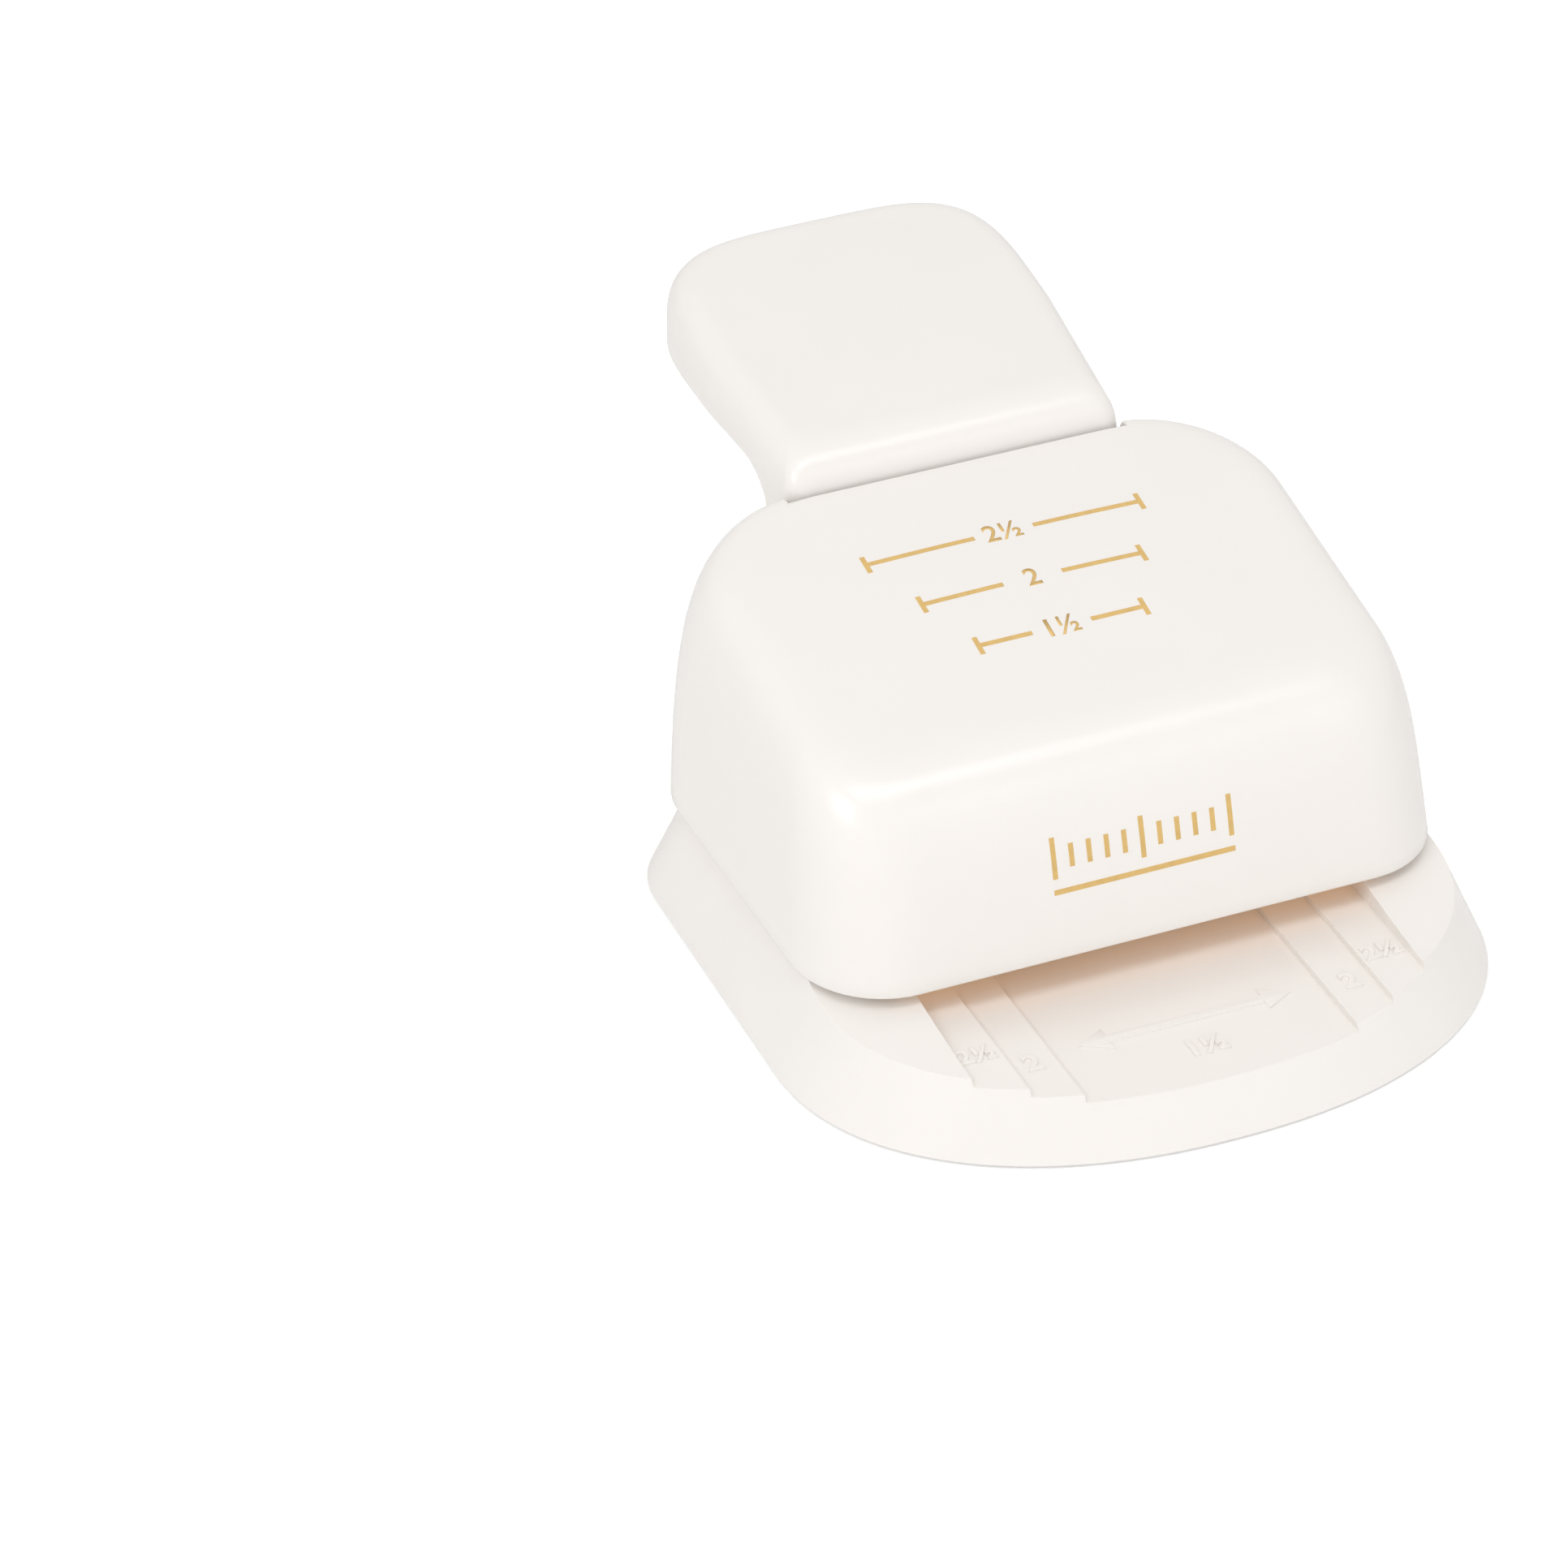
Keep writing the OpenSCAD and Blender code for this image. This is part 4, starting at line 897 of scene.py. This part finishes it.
def build_lever(sizes):
    """The hollow lever with its neck, open below for the arms and the plate under it."""
    base = lever_loop(sizes, 0.0, 0.0, sizes.corner_r)
    inmost = lever_loop(sizes, sizes.edge_r, sizes.front_r, sizes.corner_r)
    inner_xy = lever_loop(sizes, sizes.wall, sizes.wall, sizes.inner_r)
    lower = lever_lower_edge(sizes, base) + sizes.lip_r
    top = lever_top(sizes, base[:, 1])

    def edge_ring(k):
        """Outline at height shares k of the rounded top edge."""
        part = rounding(np.clip(k, 0, 1), sizes.edge_power) * np.ones(len(base))
        return base + (inmost - base) * part[:, None]

    first_y = edge_ring(BEND_START)[:, 1]
    first_z = lever_top(sizes, first_y) - sizes.edge_h * (1 - BEND_START)
    levels = []
    for u in np.linspace(0, 1, 9, endpoint=False):
        z = lower + (first_z - lower) * u
        levels.append((edge_ring(1 - (top - z) / sizes.edge_h), z))
    for k in edge_levels(BEND_START, sizes.edge_power, steps=20):
        xy = edge_ring(k)
        levels.append((xy, lever_top(sizes, xy[:, 1]) - sizes.edge_h * (1 - k)))
    skin = Skin()
    rings = {"outer": [], "inner": []}
    for xy, z in levels:
        lift = np.clip((z - lower) / (top - lower), 0, 1)
        rings["outer"].append(np.column_stack([xy, z]))
        rings["inner"].append(np.column_stack([inner_xy, lower + (top - sizes.wall - lower) * lift]))
    middle = ring_middle(rings["outer"][-1])
    foot = {}
    for face, wall, crown in (("outer", 0.0, sizes.crown), ("inner", sizes.wall, 0.0)):
        rows = [skin.add(ring) for ring in rings[face]]
        for a, b in zip(rows, rows[1:]):
            skin.bridge(a, b)
        skin.cap(rows[-1], rings[face][-1], middle, lambda xy: lever_top(sizes, xy[:, 1]) - wall, crown)
        foot[face] = rows[0]
    skin.lip(foot["outer"], foot["inner"], np.tile(-UP, (len(base), 1)), sizes.lip_r)
    mesh = combine(skin.mesh("lever_shell"), [neck_wall(sizes)], "UNION")
    return finish_mesh("lever_shell", mesh)


def neck_wall(sizes):
    """The bowed wall behind the neck, between the two sides of the lever."""
    low = corners("lever_handle")[0]
    side_y = low[1] + sizes.neck_d
    hw = sizes.front_hw - sizes.wall / 2
    middle = hw - sizes.neck_bend
    turns = np.radians(np.linspace(0, 90, 13))

    def bow(wall):
        """Right half of the wall's outer or inner line, from the side to the middle."""
        return [(middle + (sizes.neck_bend - wall) * math.cos(t),
                 side_y + (sizes.neck_back - sizes.neck_d - wall) * math.sin(t)) for t in turns]

    lines = []
    for wall in (0.0, sizes.neck_wall):
        half = [(hw - wall, side_y - sizes.wall), *bow(wall)]
        lines.append(half + [(-x, y) for x, y in reversed(half)])
    mesh = prism(lines[0] + lines[1][::-1], low[2], lever_skirt(sizes, side_y) + sizes.wall)
    clean(mesh)
    return mesh


# Finishes

def material(name, colour, roughness, metallic=0.0):
    """A new node material and its shader."""
    mat = bpy.data.materials.new(name)
    mat.use_nodes = True
    shader = mat.node_tree.nodes["Principled BSDF"]
    shader.inputs["Base Color"].default_value = (*colour, 1)
    shader.inputs["Roughness"].default_value = roughness
    shader.inputs["Metallic"].default_value = metallic
    return mat, shader


def noise(shader, scale, detail=3.0, stretch=(1, 1, 1)):
    """Noise in object space, stretched along the axes, in the tree of a shader."""
    tree = shader.id_data
    place = add_node(tree, "ShaderNodeTexCoord")
    mapping = add_node(tree, "ShaderNodeMapping", {"Vector": place.outputs["Object"], "Scale": stretch})
    texture = add_node(tree, "ShaderNodeTexNoise", {
        "Vector": mapping.outputs["Vector"], "Scale": scale, "Detail": detail})
    return texture.outputs["Fac"]


def vary_colour(shader, fac, middle, spread):
    """Base colour between a darker and a lighter tone of a colour."""
    tree = shader.id_data
    ramp = add_node(tree, "ShaderNodeValToRGB", {"Fac": fac})
    for stop, place, tone in zip(ramp.color_ramp.elements, (0.3, 0.7), (1 - spread, 1 + spread)):
        stop.position = place
        stop.color = (*(c * tone for c in middle), 1)
    tree.links.new(ramp.outputs["Color"], shader.inputs["Base Color"])


def vary_roughness(shader, fac, low, high):
    """Roughness between two values."""
    tree = shader.id_data
    spread = add_node(tree, "ShaderNodeMapRange", {"Value": fac, "To Min": low, "To Max": high})
    tree.links.new(spread.outputs["Result"], shader.inputs["Roughness"])


def bump(shader, fac, depth, strength):
    """Small surface relief."""
    tree = shader.id_data
    relief = add_node(tree, "ShaderNodeBump", {"Height": fac, "Distance": depth, "Strength": strength})
    tree.links.new(relief.outputs["Normal"], shader.inputs["Normal"])


def cream_plastic(name, middle):
    """Smooth moulded plastic with a soft gloss."""
    mat, shader = material(name, middle, 0.22)
    vary_colour(shader, noise(shader, 60), middle, 0.006)
    vary_roughness(shader, noise(shader, 240), 0.2, 0.25)
    bump(shader, noise(shader, 2600, 2), 0.004 * MM, 0.4)
    return mat


def dark_rubber(name, middle):
    """Dull rubber with a fine grain."""
    mat, shader = material(name, middle, 0.8)
    vary_colour(shader, noise(shader, 300), middle, 0.18)
    bump(shader, noise(shader, 1800, 4), 0.03 * MM, 0.6)
    return mat


def metal(name, middle, spread, rough, grain, stretch, depth):
    """Bare metal whose grain is stretched along the axes, with a depth in millimetres."""
    mat, shader = material(name, middle, rough[0], metallic=1.0)
    lines = noise(shader, grain, 4, stretch)
    vary_colour(shader, noise(shader, grain / 4), middle, spread)
    vary_roughness(shader, lines, *rough)
    bump(shader, lines, depth * MM, 0.5)
    return mat


def tool_steel(name, middle):
    """Ground steel with lines from front to rear."""
    return metal(name, middle, 0.08, (0.24, 0.38), 700, (1, 12, 1), 0.004)


def cast_alloy(name, middle):
    """Dull cast metal without lines."""
    return metal(name, middle, 0.06, (0.38, 0.55), 900, (1, 1, 1), 0.015)


def bright_steel(name, middle):
    """Turned steel with fine rings up its height."""
    return metal(name, middle, 0.065, (0.16, 0.3), 800, (1, 1, 8), 0.003)


def bearing_brass(name, middle):
    """Turned brass with fine rings along X."""
    return metal(name, middle, 0.06, (0.2, 0.34), 700, (8, 1, 1), 0.003)


def pad_nylon(name, middle):
    """Pale nylon with a soft grain."""
    mat, shader = material(name, middle, 0.45)
    vary_colour(shader, noise(shader, 200), middle, 0.035)
    bump(shader, noise(shader, 1500, 3), 0.01 * MM, 0.5)
    return mat


def gold_print(name, middle):
    """Thin gold print with a slight metal sheen."""
    mat, shader = material(name, middle, 0.42, metallic=0.25)
    vary_colour(shader, noise(shader, 900), middle, 0.05)
    vary_roughness(shader, noise(shader, 3000), 0.36, 0.5)
    return mat


LOOKS = {make.__name__: make for make in (
    cream_plastic, dark_rubber, tool_steel, cast_alloy, bright_steel, bearing_brass, pad_nylon, gold_print)}


def look(name):
    """The material of that name, made when it is first asked for."""
    full_name = "look_" + name
    found = bpy.data.materials.get(full_name)
    if found is None:
        found = LOOKS[name](full_name, getattr(bpy.context.scene.punch_colours, name))
    return found


def dress(obj, name):
    """Gives an object one look."""
    obj.data.materials.clear()
    obj.data.materials.append(look(name))


# Marks

# Place of the middle width line, as a share of the head's depth
LINES_SHARE = 0.6
# Length of a width line, as a share of its strip, and half the room for its number
LINE_SHARE = 0.62
NUMBER_ROOM = 4.2 * MM
# Height of the front scale over the head's lower edge, and how much longer its long ticks are
SCALE_H = 13.5 * MM
LONG_TICK = 1.8
# Places of the raised numbers from the middle and the front of the table, channel by channel
RAISED_PLACES = [(0.0, 11.3 * MM), (22.5 * MM, 15.5 * MM), (28.8 * MM, 18.8 * MM)]
# Raised arrow: its place from the front, its tips, the start and half width of its heads, and its shaft
ARROW_Y = 17.5 * MM
ARROW_TIP = 15 * MM
ARROW_HEAD = 11 * MM
ARROW_HEAD_HW = 2.2 * MM
ARROW_SHAFT_HW = 0.7 * MM


def text_mesh(words, size, bold, thickness=0.0, edge=0.0):
    """Flat or raised lettering as a mesh, centred on the origin. It is filled large, to lose no point."""
    curve = bpy.data.curves.new("words", "FONT")
    curve.body = words
    curve.size = size / MM
    curve.align_x = "CENTER"
    curve.align_y = "CENTER"
    curve.extrude = thickness / 2 / MM
    curve.bevel_depth = edge / MM
    curve.offset = bold / MM
    curve.resolution_u = 6
    obj = new_object("words", curve)
    bpy.context.view_layer.update()
    mesh = evaluated_mesh(obj)
    mesh.transform(Matrix.Scale(MM, 4))
    drop(obj)
    return mesh


def bar_mesh(x0, y0, x1, y1, step=1 * MM):
    """A flat bar in small squares, so that it can follow a curved face."""
    nx = max(1, round((x1 - x0) / step))
    ny = max(1, round((y1 - y0) / step))
    points = [(x, y, 0) for y in np.linspace(y0, y1, ny + 1) for x in np.linspace(x0, x1, nx + 1)]
    starts = [j * (nx + 1) + i for j in range(ny) for i in range(nx)]
    mesh = bpy.data.meshes.new("bar")
    mesh.from_pydata(points, [], [(s, s + 1, s + nx + 2, s + nx + 1) for s in starts])
    return mesh


def gather(meshes):
    """All the meshes in one edit mesh. They are removed."""
    bm = bmesh.new()
    for mesh in meshes:
        bm.from_mesh(mesh)
        bpy.data.meshes.remove(mesh)
    return bm


def plain_mesh(name, bm):
    """A mesh from an edit mesh, which is freed."""
    mesh = bpy.data.meshes.new(name)
    bm.to_mesh(mesh)
    bm.free()
    return mesh


def print_on(name, meshes, surface, film, place, way):
    """Lays flat artwork on a surface as a thin film. place(x, y) gives a start point for a ray along way."""
    tree = BVHTree.FromObject(surface, bpy.context.evaluated_depsgraph_get())
    bm = gather(meshes)
    bmesh.ops.remove_doubles(bm, verts=bm.verts, dist=JOIN)
    way = Vector(way)
    for vert in bm.verts:
        hit = tree.ray_cast(Vector(place(vert.co.x, vert.co.y)), way)[0]
        if hit is None:
            raise RuntimeError(f"{name} misses {surface.name} at {vert.co.x:.4f}, {vert.co.y:.4f}")
        vert.co = hit + way * film
    grown = bmesh.ops.extrude_face_region(bm, geom=list(bm.faces))
    top = [v for v in grown["geom"] if isinstance(v, bmesh.types.BMVert)]
    bmesh.ops.translate(bm, verts=top, vec=-2 * film * way)
    bmesh.ops.recalc_face_normals(bm, faces=bm.faces)
    return new_object(name, plain_mesh(name, bm))


def build_width_lines(marks, head):
    """Three gold width lines with plain numbers on the head's top."""
    low, high = corners("head_cover")
    middle_y = low[1] + LINES_SHARE * (high[1] - low[1])
    half, end_half = marks.stroke / 2, marks.end_h / 2
    pieces = []
    for row, (number, width) in enumerate(STRIPS.items()):
        y = middle_y + (row - 1) * marks.row_gap
        end = LINE_SHARE * width / 2
        for side in (-1, 1):
            x0, x1 = sorted((side * NUMBER_ROOM, side * (end - half)))
            pieces.append(bar_mesh(x0, y - half, x1, y + half))
            pieces.append(bar_mesh(side * end - half, y - end_half, side * end + half, y + end_half))
        pieces.append(moved(text_mesh(number, marks.number_h, marks.bold), 0, y))
    return print_on("width_lines", pieces, head, marks.film, lambda x, y: (x, y, FAR), (0, 0, -1))


def build_front_scale(marks, head):
    """A plain gold scale of ticks on the head's front."""
    z = head_bottom(bpy.context.scene.punch_head) + SCALE_H
    reach = (marks.tick_count - 1) / 2 * marks.tick_gap
    ticks = run_tree(tick_tree(), {
        "Count": marks.tick_count, "Gap": marks.tick_gap, "Width": marks.stroke, "Height": marks.tick_h,
        "Long": LONG_TICK, "Material": look("gold_print")})
    half = marks.stroke / 2
    line_z = z - LONG_TICK / 2 * marks.tick_h - 2 * marks.stroke
    pieces = [moved(ticks, -reach, z), bar_mesh(-reach - half, line_z - marks.stroke, reach + half, line_z)]
    return print_on("front_scale", pieces, head, marks.film, lambda x, y: (x, -FAR, y), (0, 1, 0))


def raised_text(marks, words, size):
    """Lettering that stands on a floor and goes as deep into it."""
    thickness = 2 * (marks.raised - marks.raised_edge)
    return text_mesh(words, size, marks.raised_bold, thickness, marks.raised_edge)


def raised_arrow(marks, y, floor):
    """A flat double arrow across the table."""
    half = [(ARROW_TIP, 0), (ARROW_HEAD, ARROW_HEAD_HW), (ARROW_HEAD, ARROW_SHAFT_HW)]
    arrow = half + [(-a, b) for a, b in reversed(half)]
    arrow += [(a, -b) for a, b in reversed(arrow[1:-1])]
    mesh = prism([(a, y + b) for a, b in arrow], floor - marks.raised, floor + marks.raised)
    round_edges(mesh, lambda middle, edge: middle.z > floor + marks.raised / 2, marks.raised_edge)
    return mesh


def build_table_marks(marks, base):
    """Raised numbers in the channels and a double arrow across the middle of the table."""
    front = corners("base_shell")[0][1]
    meshes = [raised_arrow(marks, front + ARROW_Y, base.floor_z)]
    heights = (marks.raised_h, marks.raised_h, marks.outer_h)
    for i, (number, (x, y), size) in enumerate(zip(STRIPS, RAISED_PLACES, heights)):
        for place in sorted({-x, x}):
            z = base.floor_z + i * base.step_h
            meshes.append(moved(raised_text(marks, number, size), place, front + y, z))
    return finish_mesh("table_marks", plain_mesh("table_marks", gather(meshes)), smooth_angle=30)


# Stage

WHITE = (1, 1, 1, 1)
FLOOR_COLOUR = (0.96, 0.96, 0.96)
FLOOR_REACH = 6.0
# Soft boxes: azimuth and elevation in degrees, width and height in metres
LAMPS = {
    "front": (26, 34, 0.6, 0.22),
    "left": (-58, 40, 0.36, 0.36),
    "top": (-1, 68, 0.8, 0.24),
}
LAMP_DISTANCE = 1.0
# Warm light in the head: colour, width as a share of the head, depth, and place from the front and below
GLOW_COLOUR = (1.0, 0.54, 0.24)
GLOW_SHARE = 0.75
GLOW_D = 8 * MM
GLOW_Y = 6.5 * MM
GLOW_Z = 1.4 * MM


def add_camera(studio):
    """The camera of the photo."""
    data = bpy.data.cameras.new("camera")
    data.sensor_width = studio.sensor
    data.lens = studio.sensor * studio.focal_px / studio.photo_px
    obj = new_object("camera", data)
    obj.location = studio.camera_place
    obj.rotation_euler = (math.pi / 2 - studio.elevation, 0, studio.azimuth)
    bpy.context.scene.camera = obj


def add_floor(studio):
    """A pale floor that the camera sees a little lighter."""
    edge = FLOOR_REACH
    mesh = bpy.data.meshes.new("floor")
    mesh.from_pydata([(-edge, -edge, 0), (edge, -edge, 0), (edge, edge, 0), (-edge, edge, 0)], [],
                     [(0, 1, 2, 3)])
    mat, shader = material("floor", FLOOR_COLOUR, 0.9)
    shader.inputs["Specular IOR Level"].default_value = 0.1
    shader.inputs["Emission Color"].default_value = WHITE
    tree = mat.node_tree
    path = add_node(tree, "ShaderNodeLightPath")
    lift = add_node(tree, "ShaderNodeMapRange", {
        "Value": path.outputs["Is Camera Ray"], "To Max": studio.floor_lift})
    tree.links.new(lift.outputs["Result"], shader.inputs["Emission Strength"])
    mesh.materials.append(mat)
    new_object("floor", mesh)


def add_world(studio):
    """Soft light from all round, and plain white where the camera, a shine or a clear piece shows it."""
    world = bpy.data.worlds.new("studio")
    world.use_nodes = True
    tree = world.node_tree
    tree.nodes.clear()
    way = add_node(tree, "ShaderNodeTexCoord")
    axes = add_node(tree, "ShaderNodeSeparateXYZ", {"Vector": way.outputs["Generated"]})
    fade = add_node(tree, "ShaderNodeMapRange", {
        "Value": axes.outputs["Z"], "To Min": studio.horizon, "To Max": studio.sky})
    sky = add_node(tree, "ShaderNodeBackground", {"Color": WHITE, "Strength": fade.outputs["Result"]})
    seen = add_node(tree, "ShaderNodeBackground", {"Color": WHITE, "Strength": 1.0})
    path = add_node(tree, "ShaderNodeLightPath")
    shown = path.outputs["Is Camera Ray"]
    for ray in ("Is Glossy Ray", "Is Transmission Ray"):
        either = add_node(tree, "ShaderNodeMath", {0: shown, 1: path.outputs[ray]}, operation="MAXIMUM")
        shown = either.outputs["Value"]
    mix = add_node(tree, "ShaderNodeMixShader", {
        "Fac": shown, 1: sky.outputs["Background"], 2: seen.outputs["Background"]})
    add_node(tree, "ShaderNodeOutputWorld", {"Surface": mix.outputs["Shader"]})
    bpy.context.scene.world = world
    bpy.context.scene.view_settings.view_transform = "Standard"


def area_lamp(name, width, height, power):
    """A flat lamp at the origin that shines down."""
    data = bpy.data.lights.new(name, "AREA")
    data.shape = "RECTANGLE"
    data.size = width
    data.size_y = height
    data.energy = power
    return new_object(name, data)


def add_lamps(studio):
    """Soft boxes that look at the part. Azimuth 0 is in front and 90 is on the right."""
    for name, (azimuth, elevation, width, height) in LAMPS.items():
        a, e = math.radians(azimuth), math.radians(elevation)
        way = Vector((math.sin(a) * math.cos(e), -math.cos(a) * math.cos(e), math.sin(e)))
        lamp = area_lamp(name + "_box", width, height, getattr(studio, name + "_power"))
        lamp.location = way * LAMP_DISTANCE
        lamp.rotation_euler = (-way).to_track_quat("-Z", "Y").to_euler()


def add_glow(studio):
    """A warm strip inside the head over the slot, for the light that comes through its thin wall."""
    low, high = corners("head_cover")
    lamp = area_lamp("head_glow", GLOW_SHARE * (high[0] - low[0]), GLOW_D, studio.glow_power * MM)
    lamp.data.color = GLOW_COLOUR
    lamp.location = (0, low[1] + GLOW_Y, low[2] + GLOW_Z)
    lamp.visible_camera = False
    lamp.visible_glossy = False


# Operators

def add_piece(piece, look_name, body, node=None):
    """Dresses a finished piece and puts it on its body, in place of a node if one is given."""
    dress(piece, look_name)
    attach(piece, body)
    if node:
        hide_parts(node)


class PUNCH_OT_stage(bpy.types.Operator):
    """Set up the floor, the lights and the camera"""

    bl_idname = "punch.stage"
    bl_label = "Set Stage"

    def execute(self, context):
        for add in (add_camera, add_floor, add_world, add_lamps, add_glow):
            add(context.scene.punch_studio)
        return {"FINISHED"}


class PUNCH_OT_base(bpy.types.Operator):
    """Build the moulded base in place of its plain solid"""

    bl_idname = "punch.base"
    bl_label = "Build Base"

    def execute(self, context):
        piece = build_base(context.scene.punch_base)
        add_piece(piece, "cream_plastic", "base", "base_shell")
        return {"FINISHED"}


class PUNCH_OT_head(bpy.types.Operator):
    """Build the moulded head in place of its plain solid"""

    bl_idname = "punch.head"
    bl_label = "Build Head"

    def execute(self, context):
        piece = build_head(context.scene.punch_head)
        add_piece(piece, "cream_plastic", "base", "head_cover")
        return {"FINISHED"}


class PUNCH_OT_lever(bpy.types.Operator):
    """Build the moulded lever in place of its plain solid"""

    bl_idname = "punch.lever"
    bl_label = "Build Lever"

    def execute(self, context):
        piece = build_lever(context.scene.punch_lever)
        add_piece(piece, "cream_plastic", "lever", "lever_handle")
        return {"FINISHED"}


class PUNCH_OT_marks(bpy.types.Operator):
    """Add the raised numbers and the arrow on the table"""

    bl_idname = "punch.marks"
    bl_label = "Add Raised Marks"

    def execute(self, context):
        piece = build_table_marks(context.scene.punch_marks, context.scene.punch_base)
        add_piece(piece, "cream_plastic", "base")
        return {"FINISHED"}


class PUNCH_OT_print(bpy.types.Operator):
    """Print the gold width lines and the gold scale on the head"""

    bl_idname = "punch.print"
    bl_label = "Add Print"

    def execute(self, context):
        marks = context.scene.punch_marks
        head = bpy.data.objects["head_shell"]
        for build in (build_width_lines, build_front_scale):
            add_piece(build(marks, head), "gold_print", "base")
        return {"FINISHED"}


class PUNCH_OT_springs(bpy.types.Operator):
    """Wind the two return springs"""

    bl_idname = "punch.springs"
    bl_label = "Wind Springs"

    def execute(self, context):
        sizes = context.scene.punch_springs
        tree = spring_tree()
        seat = corners("stripper_plate")[1][2]
        for side in ("left", "right"):
            node = "return_spring_" + side
            low, high = corners(node)
            middle = (low + high) / 2
            mesh = run_tree(tree, {
                "Radius": sizes.radius, "Height": sizes.height - sizes.wire - 2 * sizes.end_gap,
                "Turns": sizes.turns, "Wire radius": sizes.wire / 2, "Material": look("bright_steel")})
            moved(mesh, middle[0], middle[1], seat + sizes.end_gap + sizes.wire / 2)
            coil = finish_mesh("spring_coil_" + side, mesh)
            add_piece(coil, "bright_steel", "base", node)
            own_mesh(coil)
        return {"FINISHED"}


class PUNCH_OT_finishes(bpy.types.Operator):
    """Give every solid that still shows its finish"""

    bl_idname = "punch.finishes"
    bl_label = "Dress Solids"

    def execute(self, context):
        for part in frame["record"]["subparts"]:
            dress(frame["nodes"][part["node"]], part["material_slot"])
        return {"FINISHED"}


OPERATORS = [PUNCH_OT_stage, PUNCH_OT_base, PUNCH_OT_head, PUNCH_OT_lever, PUNCH_OT_marks, PUNCH_OT_print,
             PUNCH_OT_springs, PUNCH_OT_finishes]


class PUNCH_PT_panel(bpy.types.Panel):
    """Steps and settings of the label punch"""

    bl_idname = "PUNCH_PT_panel"
    bl_label = "Label Punch"
    bl_space_type = "VIEW_3D"
    bl_region_type = "UI"
    bl_category = "Label Punch"

    def draw(self, context):
        for step in OPERATORS:
            self.layout.operator(step.bl_idname)
        for name in SETTINGS:
            box = self.layout.box()
            group = getattr(context.scene, name)
            for prop in group.__annotations__:
                box.prop(group, prop)


CLASSES = [*SETTINGS.values(), *OPERATORS, PUNCH_PT_panel]


def register():
    """Registers the classes and adds the settings to the scene."""
    for cls in CLASSES:
        bpy.utils.register_class(cls)
    for name, group in SETTINGS.items():
        setattr(bpy.types.Scene, name, PointerProperty(type=group))


def unregister():
    """Removes the settings and the classes."""
    for name in SETTINGS:
        delattr(bpy.types.Scene, name)
    for cls in reversed(CLASSES):
        bpy.utils.unregister_class(cls)


def main():
    """Builds the whole scene."""
    register()
    bpy.ops.punch.stage()
    bpy.ops.punch.base()
    bpy.ops.punch.head()
    bpy.ops.punch.lever()
    bpy.ops.punch.marks()
    bpy.ops.punch.print()
    bpy.ops.punch.springs()
    bpy.ops.punch.finishes()


if __name__ == "__main__":
    main()
